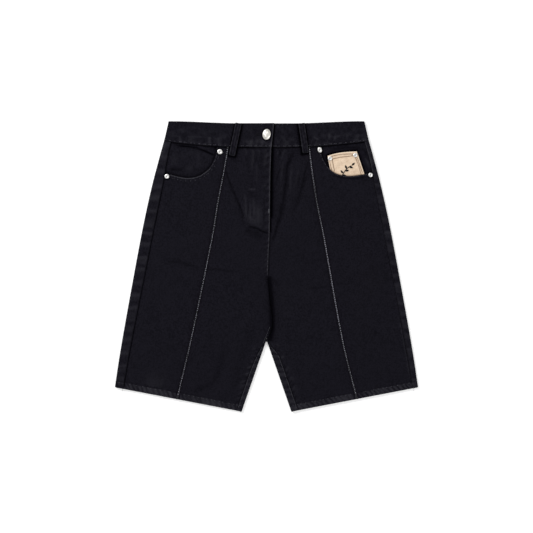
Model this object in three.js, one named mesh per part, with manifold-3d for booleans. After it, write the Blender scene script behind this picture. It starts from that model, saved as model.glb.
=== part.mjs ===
// Black denim shorts, laid flat on their back with the front facing up.
// Millimetres. +X is to the right as seen from above, +Y runs to the waist, +Z is up.
// The origin is on the floor, under the middle of the outline.
// "left" and "right" are the viewer's, looking down at the front.

import * as THREE from "three";
import { mergeVertices } from "three/addons/utils/BufferGeometryUtils.js";
import Module from "manifold-3d";

const wasm = await Module();
wasm.setup();

// Thicknesses and clearances.
const CLOTH = 1.2; // one layer of denim with its seam allowances
const BAND = 2.4; // the waistband, folded over its interfacing
const LOOP = 1.6; // a belt loop, folded and pressed
const PATCH = 1.0; // the coin pocket's lighter twill
const SEAM_GAP = 0.3; // between pieces that are sewn together
const FLY_EXTRA = 1.0; // the facing turned in behind the fly's edge
const HEM_EXTRA = 0.7; // the hem turned up inside
const STRIP_RAISE = 0.8; // the allowances under the strip beside each seam

// The plan, as laid out.
const WAIST_TOP = { centre: 272, side: 276 };
const BAND_BOTTOM = { centre: 226.5, side: 238.5, bow: 4 };
const HEM_LINE = { inner: -276, outer: -229.7 };
const HEM_DEPTH = 12;
const CROTCH_Y = -140;
const INSEAM_SLOPE = 0.346; // how fast the inner edges part below the crotch

// The outer edge: how far it lies from the centre line.
const SIDE_EDGE = [
  { y: 276, x: 186.2 },
  { y: 244, x: 193.4 },
  { y: 213.5, x: 201.8 },
  { y: 152.5, x: 218 },
  { y: 76.5, x: 234.7 },
  { y: -45, x: 257.5 },
  { y: -166.5, x: 278.9 },
  { y: -229.7, x: 288.4 },
];
// The raised seam down each front, from the centre line.
const CREASE_LINE = [
  { y: 227, left: 73, right: 81 },
  { y: 186, left: 80, right: 86 },
  { y: 118, left: 93, right: 96.5 },
  { y: 61, left: 102, right: 108.2 },
  { y: -140, left: 143.6, right: 144.5 },
  { y: -250, left: 169.5, right: 171.5 },
  { y: -276, left: 175.5, right: 178 },
];
// How far the back's cloth comes round onto the front, to the side seam.
const SIDE_WRAP = [
  { y: 240, left: 13.5, right: 9 },
  { y: 196, left: 16.5, right: 9 },
  { y: 160, left: 20.5, right: 12 },
  { y: 60, left: 22, right: 14 },
  { y: -140, left: 19, right: 12 },
  { y: -230, left: 17, right: 10.5 },
];
const INSEAM_WRAP = { left: 8, right: 11.5 };
// The centre front, positive to the right: the fly's edge, then the seam to the crotch.
const CENTRE_FRONT = [
  { y: 240, x: 7.8 },
  { y: 173, x: 5.7 },
  { y: 65, x: 4.4 },
  { y: -15, x: 2 },
  { y: -66, x: 6 },
  { y: -98, x: 11 },
  { y: -120, x: 9.5 },
  { y: -133, x: 4 },
  { y: -140, x: 0 },
];

// Heights over the back's underside.
const EDGE_HEIGHT = 4.6;
const EDGE_ROUND = 2.6;
const FLY = { top: 6.4, under: 3.9, reach: 8, end: 88, left: -50, ease: 14 };
const VALLEY_TOP = 3.2;
const BAND_TOP = { side: 5.4, centre: 8.1, from: 35, to: 110 };
const OVERLAP_END = 12; // how far the buttonhole end passes the centre line
const UNDERLAP_END = -22;
// The back's belt loops lift the waist end off the floor.
const WAIST_LIFT = { height: LOOP + SEAM_GAP, from: 150, to: 195 };

// The largest folds: soft troughs and ridges along a line of plan points.
const FOLDS = [
  // Fly bulge, left side
  { side: "left", height: -0.9, width: 5,
    path: [[-77, 175], [-58, 132], [-47, 97], [-43, 77]] },
  // Drag line under the right loop
  { side: "right", height: -1.2, width: 6,
    path: [[55, 221], [40, 194], [37, 160], [32, 123], [25, 94], [17, 65], [10, 41]] },
  // Outer drag line
  { side: "right", height: -0.9, width: 6,
    path: [[78, 179], [67, 144], [57, 116], [48, 101]] },
  // Ridge between the drag lines
  { side: "right", height: 0.7, width: 7,
    path: [[66, 205], [54, 165], [48, 130], [38, 95]] },
  // Left thigh, folded across
  { side: "left", height: -0.6, width: 7,
    path: [[-230, 29], [-186, 10], [-118, -7], [-72, -12], [-17, -10]] },
  // Right thigh, folded across
  { side: "right", height: -0.6, width: 7,
    path: [[12, -34], [86, -39], [141, -32], [204, -10], [244, 8]] },
  // Left leg, curl near the hem
  { side: "left", height: -0.8, width: 10,
    path: [[-81, -153], [-88, -191], [-101, -219], [-123, -232], [-146, -238]] },
  // Left leg, inner fold
  { side: "left", height: -0.7, width: 10,
    path: [[-30, -113], [-34, -144], [-49, -184], [-55, -210], [-64, -244]] },
];
// Broad soft rises where the cloth stands off the layer below.
const RISES = [
  { side: "left", x: -165, y: 90, reach: 70, height: 0.9 },
  { side: "left", x: -90, y: -90, reach: 80, height: 1.1 },
  { side: "left", x: -200, y: -130, reach: 75, height: 0.8 },
  { side: "right", x: 170, y: 60, reach: 75, height: 0.8 },
  { side: "right", x: 95, y: -110, reach: 80, height: 1.1 },
  { side: "right", x: 215, y: -120, reach: 70, height: 0.7 },
  { side: "right", x: 150, y: 185, reach: 55, height: 1.3 },
  { side: "left", x: -140, y: 185, reach: 50, height: 0.5 },
];

// The scoop pockets: the mouth's curve from the waistband to the side seam.
const SCOOP = {
  left: [[-94, 232], [-96, 213], [-101.5, 197.5], [-108, 187], [-115, 180.5], [-125, 173.5],
    [-136, 169.5], [-149, 168], [-163.5, 169.7], [-178, 173.2], [-205, 180]],
  right: [[102, 232], [103, 218], [107, 206], [113, 194.5], [119, 185.5], [126, 178.5], [135, 173.2],
    [146, 170], [158, 169.3], [172, 171], [187, 174.6], [205, 179]],
};
const FACING_GROW = 1.16; // how far the facing runs on under the front
const FACING_RISE = 1.0; // the facing stands up in the open part of the mouth
const PATCH_OUTLINE = [[115, 211], [128, 215], [141, 217.5], [156, 219], [171.5, 219.5], [175, 211],
  [181, 196], [186, 178], [188, 168], [160, 163], [132, 165.5], [124, 174.5], [119, 189], [115.8, 200]];

// Hardware.
const RIVET = { radius: 4.75, rim: 1.1, height: 1.5, sides: 14 };
const PATCH_RIVET = { radius: 4.0, rim: 0.9, height: 1.1, sides: 12 };
const RIVETS = [
  { name: "rivet_left_upper", x: -88.5, y: 218 },
  { name: "rivet_left_lower", x: -189.2, y: 171.2 },
  { name: "rivet_right_upper", x: 101.3, y: 221.5 },
  { name: "rivet_right_lower", x: 197.6, y: 173.8 },
];
const PATCH_RIVETS = [
  { name: "coin_rivet_left", x: 120.6, y: 205.4 },
  { name: "coin_rivet_right", x: 168.6, y: 211.6 },
];
const BUTTON = { x: 0, y: 250, wide: 15.5, long: 20.5, shank: 1.4, tilt: -0.14, sides: 24 };
const BUTTONHOLE = { from: -20, to: 2.4, half: 2.1 };

// Belt loops: the middle of each end, top first.
const LOOP_WIDTH = 11.5;
const FRONT_LOOPS = [
  { name: "belt_loop_front_left", top: [-52.8, 272], bottom: [-65.8, 210.5] },
  { name: "belt_loop_front_right", top: [66.5, 272], bottom: [74.6, 215.5] },
];
const BACK_LOOPS = [
  { name: "belt_loop_back_left", x: -118 },
  { name: "belt_loop_back_centre", x: 0 },
  { name: "belt_loop_back_right", x: 118 },
];
const BACK_LOOP = { top: 271, bottom: 210 };
const LOOP_ARCH = 1.0; // the slack a belt slides through

// The raised seam's section, offsets from its line and heights over the panels.
const CREASE_SECTION = [
  { offset: -1.5, height: 0.35 },
  { offset: -0.7, height: 1.5 },
  { offset: 0.7, height: 1.5 },
  { offset: 1.5, height: 0.35 },
];

const MATERIALS = {
  denim: new THREE.MeshStandardMaterial({ name: "denim", color: 0x17171c, roughness: 0.9, metalness: 0 }),
  crease: new THREE.MeshStandardMaterial({ name: "crease", color: 0x77777c, roughness: 0.95, metalness: 0 }),
  twill: new THREE.MeshStandardMaterial({ name: "twill", color: 0xdec5ab, roughness: 0.85, metalness: 0 }),
  metal: new THREE.MeshStandardMaterial({ name: "metal", color: 0xd9d4cb, roughness: 0.3, metalness: 1 }),
};

const mix = (a, b, t) => a + (b - a) * t;
const clamp01 = (t) => Math.min(1, Math.max(0, t));
const ease = (t) => clamp01(t) ** 2 * (3 - 2 * clamp01(t));
const signOf = (side) => (side === "left" ? -1 : 1);
const range = (n) => Array.from({ length: n }, (_, i) => i);

// A column of a table at height y, on a smooth curve through its rows.
function along(table, y, column = "x") {
  const last = table.length - 1;
  let i = table.findIndex((row, k) => k < last && y >= table[k + 1].y);
  if (i < 0) i = last - 1;
  const slope = (k) => {
    const a = table[Math.max(0, k - 1)];
    const b = table[Math.min(last, k + 1)];
    return (b[column] - a[column]) / (b.y - a.y);
  };
  const [p, q] = [table[i], table[i + 1]];
  const span = q.y - p.y;
  const t = clamp01((y - p.y) / span);
  const t2 = t * t;
  const t3 = t2 * t;
  return (
    p[column] * (2 * t3 - 3 * t2 + 1) + q[column] * (3 * t2 - 2 * t3) +
    slope(i) * span * (t3 - 2 * t2 + t) + slope(i + 1) * span * (t3 - t2)
  );
}

// How far along the stretch from a to b the point nearest to (x, y) lies, from 0 to 1.
function foot([ax, ay], [bx, by], x, y) {
  const along = (x - ax) * (bx - ax) + (y - ay) * (by - ay);
  return clamp01(along / ((bx - ax) ** 2 + (by - ay) ** 2));
}

// How near (x, y) is to a line of points: 1 on it, falling off softly over the width and past the ends.
function nearLine(path, x, y, width) {
  let best = 0;
  for (let i = 0; i + 1 < path.length; i++) {
    const [ax, ay] = path[i];
    const [bx, by] = path[i + 1];
    const share = foot([ax, ay], [bx, by], x, y);
    const reach = (i + share) / (path.length - 1);
    const taper = ease(reach / 0.2 + 0.25) * ease((1 - reach) / 0.2 + 0.25);
    const away = Math.hypot(x - mix(ax, bx, share), y - mix(ay, by, share)) / width;
    best = Math.max(best, taper * Math.exp(-away * away));
  }
  return best;
}

const lift = (y) => WAIST_LIFT.height * ease((y - WAIST_LIFT.from) / (WAIST_LIFT.to - WAIST_LIFT.from));
const innerEdge = (y) => Math.max(0, (CROTCH_Y - y) * INSEAM_SLOPE);
const sideEdge = (y) => along(SIDE_EDGE, y);

// The lower end of the fly, a quarter curve that drops to the centre front.
const flyEnd = (x) => 65 + 19 * ((x - 4) / 47) ** 2;
const flyShare = (x, y) => ease((y - flyEnd(x)) / 5) * ease((x - FLY.left) / FLY.ease);

// The top of the front layer. x is signed.
function frontTop(side, x, y) {
  let z = EDGE_HEIGHT;
  for (const rise of RISES) {
    if (rise.side !== side) continue;
    z += rise.height * Math.exp(-(((x - rise.x) ** 2 + (y - rise.y) ** 2) / rise.reach ** 2));
  }
  for (const fold of FOLDS) {
    if (fold.side === side) z += fold.height * nearLine(fold.path, x, y, fold.width);
  }
  const centre = along(CENTRE_FRONT, y);
  if (side === "left") {
    z = mix(z, FLY.top, flyShare(x, y));
  } else {
    const fly = ease((y - 55) / 15);
    const valley = ease((-10 - y) / 35) * (1 - 0.5 * ease((-118 - y) / 20));
    z = mix(z, FLY.under, fly * (1 - ease((x - centre - 2) / 12)));
    z = mix(z, VALLEY_TOP, valley * (1 - ease((x - centre) / 13)));
  }
  return z + lift(y);
}

// A row runs across a leg from its inner line to its outer edge, v of the way from waistband to hem.
// x is the distance out from the centre line.
function rowY(v, x) {
  const yi = mix(BAND_BOTTOM.centre, HEM_LINE.inner, v);
  const yo = mix(BAND_BOTTOM.side, HEM_LINE.outer, v);
  const w = (x - innerEdge(yi)) / (sideEdge(yo) - innerEdge(yi));
  return mix(yi, yo, w) - BAND_BOTTOM.bow * (1 - v) * 4 * w * (1 - w);
}
// Where a row meets a line that is given as distance out against height.
function crossing(v, line) {
  let x = line(rowY(v, 100));
  for (const _ of range(12)) x = line(rowY(v, x));
  return x;
}

const LENGTH = BAND_BOTTOM.centre - HEM_LINE.inner;
const shareAt = (y) => (BAND_BOTTOM.centre - y) / LENGTH; // the row whose inner end is at height y
const CROTCH_V = shareAt(CROTCH_Y);
const HEM_V = 1 - HEM_DEPTH / LENGTH;
const STEP = 1.6 / LENGTH; // the step up onto the hem

function rowShares(above, below) {
  return [
    ...range(above).map((i) => mix(SEAM_GAP / LENGTH, CROTCH_V - 3 * 4 / LENGTH, i / (above - 1))),
    CROTCH_V - 8 / LENGTH,
    CROTCH_V - 4 / LENGTH,
    CROTCH_V,
    CROTCH_V + 6 / LENGTH,
    ...range(below).map((i) => mix(CROTCH_V + 14 / LENGTH, HEM_V - STEP, i / (below - 1))),
    HEM_V,
    1,
  ];
}
const FRONT_ROWS = rowShares(32, 9);
const BACK_ROWS = rowShares(15, 6);
const hemShare = (v) => (v >= HEM_V - 1e-9 ? 1 : 0);

// Panel lines, as distance out from the centre line.
const inseamReach = (y) => ease((CROTCH_Y - y) / 16);
const inseamLine = (side, y) =>
  innerEdge(y) + mix(CLOTH + 2 * SEAM_GAP, EDGE_ROUND + INSEAM_WRAP[side], inseamReach(y));
function centreLine(side, y) {
  const fork = CROTCH_Y + 5;
  if (y > fork) {
    const out = signOf(side) * along(CENTRE_FRONT, y) + SEAM_GAP / 2;
    const under = side === "right" ? (FLY.reach + SEAM_GAP) * ease((y - FLY.end) / 8) : 0;
    return out - under;
  }
  return inseamLine(side, y) + SEAM_GAP / 2; // past the fork the front stops at the inseam
}
const creaseLine = (side, y) => along(CREASE_LINE, y, side);
const sideSeam = (side, y) => sideEdge(y) - along(SIDE_WRAP, y, side);

// A geometry from triangles, with shared corners merged, faces out.
function closed(triangles) {
  const key = (p) => p.map((c) => Math.round(c * 1e3)).join();
  const kept = triangles.filter((t) => new Set(t.map(key)).size === 3);
  const vector = (p) => new THREE.Vector3(...p);
  const volume = kept.reduce((sum, [a, b, c]) => sum + vector(a).dot(vector(b).cross(vector(c))), 0);
  const facing = volume < 0 ? kept.map(([a, b, c]) => [a, c, b]) : kept;
  const flat = new THREE.BufferGeometry();
  flat.setAttribute("position", new THREE.Float32BufferAttribute(facing.flat(2), 3));
  return mergeVertices(flat, 1e-3);
}

// A closed wall between two grids of points.
function wall(outer, inner) {
  const triangles = [];
  const quad = (a, b, c, d) => triangles.push([a, b, c], [a, c, d]);
  const rows = outer.length - 1;
  const cols = outer[0].length - 1;
  for (const i of range(rows)) {
    for (const j of range(cols)) {
      quad(outer[i][j], outer[i][j + 1], outer[i + 1][j + 1], outer[i + 1][j]);
      quad(inner[i][j], inner[i + 1][j], inner[i + 1][j + 1], inner[i][j + 1]);
    }
    quad(outer[i][0], outer[i + 1][0], inner[i + 1][0], inner[i][0]);
    quad(outer[i][cols], inner[i][cols], inner[i + 1][cols], outer[i + 1][cols]);
  }
  for (const j of range(cols)) {
    quad(outer[0][j], inner[0][j], inner[0][j + 1], outer[0][j + 1]);
    quad(outer[rows][j], outer[rows][j + 1], inner[rows][j + 1], inner[rows][j]);
  }
  return closed(triangles);
}

// manifold-3d in and out.
function solid(geometry) {
  const g = geometry.clone();
  g.deleteAttribute("normal");
  g.deleteAttribute("uv");
  const merged = mergeVertices(g, 1e-4);
  return new wasm.Manifold(new wasm.Mesh({
    numProp: 3,
    vertProperties: merged.attributes.position.array,
    triVerts: new Uint32Array(merged.index.array),
  }));
}
function geometryOf(manifold) {
  const mesh = manifold.getMesh();
  const g = new THREE.BufferGeometry();
  g.setAttribute("position", new THREE.BufferAttribute(new Float32Array(mesh.vertProperties), 3));
  g.setIndex(new THREE.BufferAttribute(new Uint32Array(mesh.triVerts), 1));
  return g;
}

// An upright prism over a plan outline, for cutting.
function prism(outline, low = -5, high = 30) {
  const shape = new THREE.Shape(outline.map(([x, y]) => new THREE.Vector2(x, y)));
  const g = new THREE.ExtrudeGeometry(shape, { depth: high - low, bevelEnabled: false });
  return g.translate(0, 0, low);
}

// A panel between two lines, over some rows. top and thickness are functions of (x, y, v), x signed.
function panel(side, rows, cols, from, to, top, thickness) {
  const s = signOf(side);
  const grids = [[], []];
  for (const v of rows) {
    const a = crossing(v, from);
    const b = crossing(v, to);
    const points = range(cols + 1).map((j) => {
      const x = mix(a, b, j / cols);
      return [s * x, rowY(v, x)];
    });
    grids[0].push(points.map(([x, y]) => [x, y, top(x, y, v)]));
    grids[1].push(points.map(([x, y]) => [x, y, top(x, y, v) - thickness(x, y, v)]));
  }
  return wall(...grids);
}

// The centre front of each leg, from the fly, seam and inseam to the raised seam.
function frontCentre(side) {
  const facing = (x, y) => (side === "left" ? FLY_EXTRA * flyShare(x, y) : 0);
  return panel(side, FRONT_ROWS, 10, (y) => centreLine(side, y), (y) => creaseLine(side, y) - SEAM_GAP / 2,
    (x, y, v) => frontTop(side, x, y) + HEM_EXTRA * hemShare(v),
    (x, y, v) => CLOTH + HEM_EXTRA * hemShare(v) + facing(x, y));
}

// The mouth of a scoop pocket as a plan outline, grown about the corner at the waistband and side seam.
function scoopOutline(side, grow = 1) {
  const s = signOf(side);
  const curve = new THREE.SplineCurve(SCOOP[side].map(([x, y]) => new THREE.Vector2(x, y)));
  const corner = new THREE.Vector2(s * 200, 236);
  const mouth = curve.getPoints(22).map((p) => p.sub(corner).multiplyScalar(grow).add(corner));
  return [...mouth.map((p) => [p.x, p.y]), [s * 260, 190], [s * 260, 262], [s * 90, 262]];
}

// The side front, from the raised seam to the side seam, with the pocket's mouth cut away.
function frontSide(side) {
  const full = panel(side, FRONT_ROWS, 8, (y) => creaseLine(side, y) + SEAM_GAP / 2,
    (y) => sideSeam(side, y) - SEAM_GAP / 2,
    (x, y, v) => frontTop(side, x, y) + HEM_EXTRA * hemShare(v),
    (x, y, v) => CLOTH + HEM_EXTRA * hemShare(v));
  return geometryOf(solid(full).subtract(solid(prism(scoopOutline(side)))));
}

// How far a plan point lies inside the pocket's mouth, past the curve.
function insideMouth(side, x, y) {
  const away = Math.min(...SCOOP[side].slice(1).map(([bx, by], i) => {
    const [ax, ay] = SCOOP[side][i];
    const t = foot([ax, ay], [bx, by], x, y);
    return Math.hypot(x - mix(ax, bx, t), y - mix(ay, by, t));
  }));
  const below = SCOOP[side].every(([px, py]) => Math.abs(x) <= Math.abs(px) || y <= py);
  return below ? 0 : away;
}
const facingTop = (side, x, y) =>
  lift(y) + 2 * CLOTH + SEAM_GAP + FACING_RISE * ease((insideMouth(side, x, y) - 3) / 12);

// The denim facing that shows in the pocket's mouth.
function pocketFacing(side) {
  const rows = FRONT_ROWS.filter((v) => v < shareAt(135));
  const full = panel(side, rows, 10, (y) => creaseLine(side, y) + 2, (y) => sideSeam(side, y) - SEAM_GAP / 2,
    (x, y) => facingTop(side, x, y), () => CLOTH);
  return geometryOf(solid(full).intersect(solid(prism(scoopOutline(side, FACING_GROW)))));
}

// The light coin pocket, tucked behind the right mouth.
function coinPocket() {
  const [xs, ys] = [0, 1].map((k) => PATCH_OUTLINE.map((point) => point[k]));
  const rows = range(7).map((i) => mix(Math.max(...ys) + 1, Math.min(...ys) - 1, i / 6));
  const cols = range(9).map((j) => mix(Math.min(...xs) - 1, Math.max(...xs) + 1, j / 8));
  const top = rows.map((y) => cols.map((x) => [x, y, facingTop("right", x, y) + SEAM_GAP + PATCH]));
  const under = top.map((row) => row.map(([x, y, z]) => [x, y, z - PATCH]));
  return geometryOf(solid(wall(top, under)).intersect(solid(prism(PATCH_OUTLINE))));
}

// Where cloth turns over between a low and a high face: half an ellipse, seen along the edge.
// inward is the direction from the edge into the piece; inset is 0 outside and the thickness inside.
const TURN = [90, 45, 0, -45, -90].map((degrees) => (degrees * Math.PI) / 180);
function turnOver(edge, inward, round, inset, low, high) {
  const bend = Math.max(0.02, round - inset);
  return TURN.map((a) => ({
    x: edge + inward * (inset + bend * (1 - Math.cos(a))),
    z: mix(low, high, (1 + Math.sin(a)) / 2),
  }));
}

// One row of a back panel, from the inseam round under the leg to the side seam.
// Above the fork the inner edge has no turn, and its points fall together on the centre line.
function backRow(side, v, inside) {
  const extra = HEM_EXTRA * hemShare(v);
  const inset = inside ? CLOTH : 0;
  const forked = v >= CROTCH_V - 1e-9;
  const yInner = rowY(v, innerEdge(mix(BAND_BOTTOM.centre, HEM_LINE.inner, v)));
  const yOuter = mix(BAND_BOTTOM.side, HEM_LINE.outer, v);
  const inner = (forked ? innerEdge(yInner) : 0) + SEAM_GAP / 2;
  const outer = sideEdge(yOuter);
  const round = Math.max(mix(0.05, EDGE_ROUND, inseamReach(yInner)), inset);
  const under = (y) => lift(y) + (inside ? CLOTH + extra : 0);
  const over = (x, y) => frontTop(side, signOf(side) * x, y) + STRIP_RAISE + (inside ? -CLOTH : extra);
  const onTop = (x) => [x, rowY(v, x), over(x, rowY(v, x))];
  const below = (x) => [x, rowY(v, x), under(rowY(v, x))];
  const turned = (edge, inward, bend, y) =>
    turnOver(edge, inward, bend, inset, under(y), over(edge + inward * bend, y)).map(({ x, z }) => [x, y, z]);

  const row = [];
  if (forked) {
    const inseam = Math.max(crossing(v, (y) => inseamLine(side, y) - SEAM_GAP / 2), inner + CLOTH + 0.05);
    row.push(onTop(inseam), onTop(mix(inner + round, inseam, 0.5)));
    row.push(...turned(inner, 1, round, yInner));
  } else {
    row.push(...range(2 + TURN.length).map(() => [inner, yInner, under(yInner)]));
  }
  const flatFrom = forked ? inner + round : inner;
  row.push(...[0.12, 0.5, 0.88].map((t) => below(mix(flatFrom, outer - EDGE_ROUND, t))));
  row.push(...turned(outer, -1, EDGE_ROUND, yOuter).reverse());
  const seam = crossing(v, (y) => sideSeam(side, y) + SEAM_GAP / 2);
  row.push(onTop(mix(outer - EDGE_ROUND, seam, 0.5)), onTop(seam));
  return row.map(([x, y, z]) => [signOf(side) * x, y, z]);
}
// A back panel: under the leg, round its inner and outer edges, and onto the front as far as the seams.
function back(side) {
  return wall(BACK_ROWS.map((v) => backRow(side, v, false)), BACK_ROWS.map((v) => backRow(side, v, true)));
}

// The waistband's edges, and its top over the front.
const bandUpper = (x) => mix(WAIST_TOP.centre, WAIST_TOP.side, ease((Math.abs(x) - 50) / 130));
const bandLower = (x) => rowY(0, Math.abs(x)) + SEAM_GAP / 2;
function bandTop(side, x) {
  const over = side === "left" ? 1 - ease((-x - BAND_TOP.from) / (BAND_TOP.to - BAND_TOP.from)) : 0;
  return WAIST_LIFT.height + mix(BAND_TOP.side, BAND_TOP.centre, over);
}

// One row across half of the waistband, t of the way from its top edge to its seam.
function bandRow(side, t, inside) {
  const s = signOf(side);
  const inset = inside ? BAND : 0;
  const end = side === "left" ? -OVERLAP_END : UNDERLAP_END; // distance out from the centre line
  const ySide = mix(WAIST_TOP.side, BAND_BOTTOM.side + SEAM_GAP / 2, t);
  const edge = sideEdge(ySide);
  const round = BAND + 0.5;
  const at = (x) => mix(bandUpper(x), bandLower(x), t);
  const low = WAIST_LIFT.height + inset;
  const turned = turnOver(edge, -1, round, inset, low, bandTop(side, s * edge) - inset);
  const front = range(14).map((i) => mix(end, edge - round, i / 14));
  const behind = range(5).map((i) => mix(edge - round, SEAM_GAP / 2, (i + 1) / 5));
  return [
    ...front.map((x) => [s * x, at(x), bandTop(side, s * x) - inset]),
    ...turned.map(({ x, z }) => [s * x, ySide, z]),
    ...behind.map((x) => [s * x, at(x), low]),
  ];
}
// Half of the waistband: from its end at the centre front, round the side, to the centre back.
function waistband(side) {
  const rows = [0, 0.5, 1];
  const band = wall(rows.map((t) => bandRow(side, t, false)), rows.map((t) => bandRow(side, t, true)));
  if (side === "right") return band;
  const { from, to, half } = BUTTONHOLE;
  const hole = [[from, -half], [to, -half], [to, half], [from, half]].map(([x, y]) => [x, y + BUTTON.y]);
  return geometryOf(solid(band).subtract(solid(prism(hole, WAIST_LIFT.height + BAND_TOP.side))));
}

// The raised seam that runs down each front on the panels' join.
function raisedSeam(side) {
  const s = signOf(side);
  const grids = [[], []];
  for (const v of FRONT_ROWS) {
    const middle = crossing(v, (y) => creaseLine(side, y));
    const y = rowY(v, middle);
    const base = frontTop(side, s * middle, y) + HEM_EXTRA * hemShare(v) + SEAM_GAP;
    grids[0].push(CREASE_SECTION.map(({ offset, height }) => [s * middle + offset, y, base + height]));
    grids[1].push(CREASE_SECTION.map(({ offset }) => [s * middle + offset, y, base]));
  }
  return wall(...grids);
}

// A belt loop over the front: from the waistband's top edge to a little below its seam.
function frontLoop({ top, bottom }) {
  const side = top[0] < 0 ? "left" : "right";
  const seamShare = (top[1] - bandLower(bottom[0])) / (top[1] - bottom[1]);
  const stations = [
    { t: 0, over: 0 },
    { t: 0.12, over: 0.3 },
    { t: 0.4, over: LOOP_ARCH },
    { t: seamShare, over: LOOP_ARCH },
    { t: mix(seamShare, 1, 0.6), over: 0.5 },
    { t: 1, over: 0 },
  ];
  const grids = [[], []];
  for (const { t, over } of stations) {
    const x = mix(top[0], bottom[0], t);
    const y = mix(top[1], bottom[1], t);
    const carried = range(5).map((j) => {
      const px = x + LOOP_WIDTH * (j / 4 - 0.5);
      return t <= seamShare + 1e-9 ? bandTop(side, px) : frontTop(side, px, y);
    });
    const under = Math.max(...carried) + SEAM_GAP + over;
    const across = [-0.5, -0.32, 0.32, 0.5].map((k) => x + k * LOOP_WIDTH);
    grids[0].push(across.map((px, j) => [px, y, under + (j % 3 ? LOOP + 0.4 : LOOP)]));
    grids[1].push(across.map((px) => [px, y, under]));
  }
  return wall(...grids);
}

// A belt loop on the back, pressed flat between the floor and the waistband.
function backLoop({ x }) {
  const rows = [BACK_LOOP.top, mix(BACK_LOOP.top, BACK_LOOP.bottom, 0.5), BACK_LOOP.bottom];
  const across = [-0.5, 0.5].map((k) => x + k * LOOP_WIDTH);
  const top = rows.map((y) => across.map((px) => [px, y, LOOP]));
  return wall(top, top.map((row) => row.map(([px, y]) => [px, y, 0])));
}

// A ring rivet with a nub in its middle. The profile runs from the axis underneath to the axis on top.
function rivet({ radius, rim, height, sides }) {
  const profile = [[0, 0], [radius, 0], [radius, height * 0.45], [radius - rim, height],
    [radius * 0.5, height * 0.8], [radius * 0.3, height * 0.5], [radius * 0.18, height * 1.05],
    [0, height * 1.05]];
  const turned = new THREE.LatheGeometry(profile.map(([x, y]) => new THREE.Vector2(x, y)), sides);
  return turned.rotateX(Math.PI / 2);
}

// The highest point under a disc, so that it sits on it.
function highest(top, x, y, radius) {
  const ring = range(16).map((i) => (i * Math.PI) / 8);
  return Math.max(...[0, 0.6, 1.15].flatMap((k) => ring.map((a) =>
    top(x + k * radius * Math.cos(a), y + k * radius * Math.sin(a)))));
}

// The oval button: a low dome on a shank that stands in the buttonhole.
function button() {
  const cap = BAND_TOP.centre - BAND_TOP.side; // from the underlap to the top of the overlap
  const half = BUTTON.long / 2;
  const foot = BUTTON.shank / (BUTTON.wide / BUTTON.long);
  const profile = [[0, 0], [foot, 0], [foot, cap], [half * 0.9, cap], [half, cap + 0.7],
    [half * 0.93, cap + 1.7], [half * 0.8, cap + 2.1], [half * 0.74, cap + 1.8], [half * 0.5, cap + 2.6],
    [half * 0.22, cap + 3.1], [0, cap + 3.2]];
  const g = new THREE.LatheGeometry(profile.map(([x, y]) => new THREE.Vector2(x, y)), BUTTON.sides);
  g.rotateX(Math.PI / 2);
  return g.scale(BUTTON.wide / BUTTON.long, 1, 1).rotateZ(BUTTON.tilt);
}

const group = new THREE.Group();
function add(name, geometry, material, x = 0, y = 0, z = 0) {
  const mesh = new THREE.Mesh(geometry, MATERIALS[material]);
  mesh.name = name;
  mesh.position.set(x, y, z);
  group.add(mesh);
}

for (const side of ["left", "right"]) {
  add(`back_${side}`, back(side), "denim");
  add(`front_centre_${side}`, frontCentre(side), "denim");
  add(`front_side_${side}`, frontSide(side), "denim");
  add(`pocket_facing_${side}`, pocketFacing(side), "denim");
  add(`waistband_${side}`, waistband(side), "denim");
  add(`raised_seam_${side}`, raisedSeam(side), "crease");
}
add("coin_pocket", coinPocket(), "twill");
for (const loop of FRONT_LOOPS) add(loop.name, frontLoop(loop), "denim");
for (const loop of BACK_LOOPS) add(loop.name, backLoop(loop), "denim");
for (const { name, x, y } of RIVETS) {
  const side = x < 0 ? "left" : "right";
  const strip = (px, py) => (Math.abs(px) > sideSeam(side, py) - 1 ? STRIP_RAISE : 0);
  const seat = highest((px, py) => frontTop(side, px, py) + strip(px, py), x, y, RIVET.radius);
  add(name, rivet(RIVET), "metal", x, y, seat + SEAM_GAP);
}
for (const { name, x, y } of PATCH_RIVETS) {
  const seat = highest((px, py) => facingTop("right", px, py), x, y, PATCH_RIVET.radius) + SEAM_GAP + PATCH;
  add(name, rivet(PATCH_RIVET), "metal", x, y, seat + SEAM_GAP);
}
add("button", button(), "metal", BUTTON.x, BUTTON.y, bandTop("right", 0) + SEAM_GAP);

export default group;
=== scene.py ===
# Black denim shorts, laid flat with the front up.
# Sizes are millimetres until a mesh is made. "left" and "right" are the viewer's, looking down at the front.

import math
from functools import partial

import bmesh
import bpy
import numpy as np
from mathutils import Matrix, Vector


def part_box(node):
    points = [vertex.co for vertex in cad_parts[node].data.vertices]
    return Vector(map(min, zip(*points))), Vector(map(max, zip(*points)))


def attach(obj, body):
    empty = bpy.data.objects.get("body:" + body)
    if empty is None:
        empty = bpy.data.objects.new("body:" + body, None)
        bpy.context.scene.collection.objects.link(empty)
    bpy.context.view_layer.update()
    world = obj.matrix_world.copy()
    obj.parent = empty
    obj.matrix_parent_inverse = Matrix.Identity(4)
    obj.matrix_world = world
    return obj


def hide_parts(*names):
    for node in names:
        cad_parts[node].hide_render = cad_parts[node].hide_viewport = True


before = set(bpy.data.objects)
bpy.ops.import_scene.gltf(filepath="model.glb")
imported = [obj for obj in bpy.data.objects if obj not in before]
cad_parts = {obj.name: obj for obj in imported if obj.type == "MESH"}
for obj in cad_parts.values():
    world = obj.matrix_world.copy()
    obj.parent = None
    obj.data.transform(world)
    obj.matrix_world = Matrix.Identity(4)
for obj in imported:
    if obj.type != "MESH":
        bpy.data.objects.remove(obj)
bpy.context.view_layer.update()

MM = 0.001
SIDES = ("left", "right")

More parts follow.
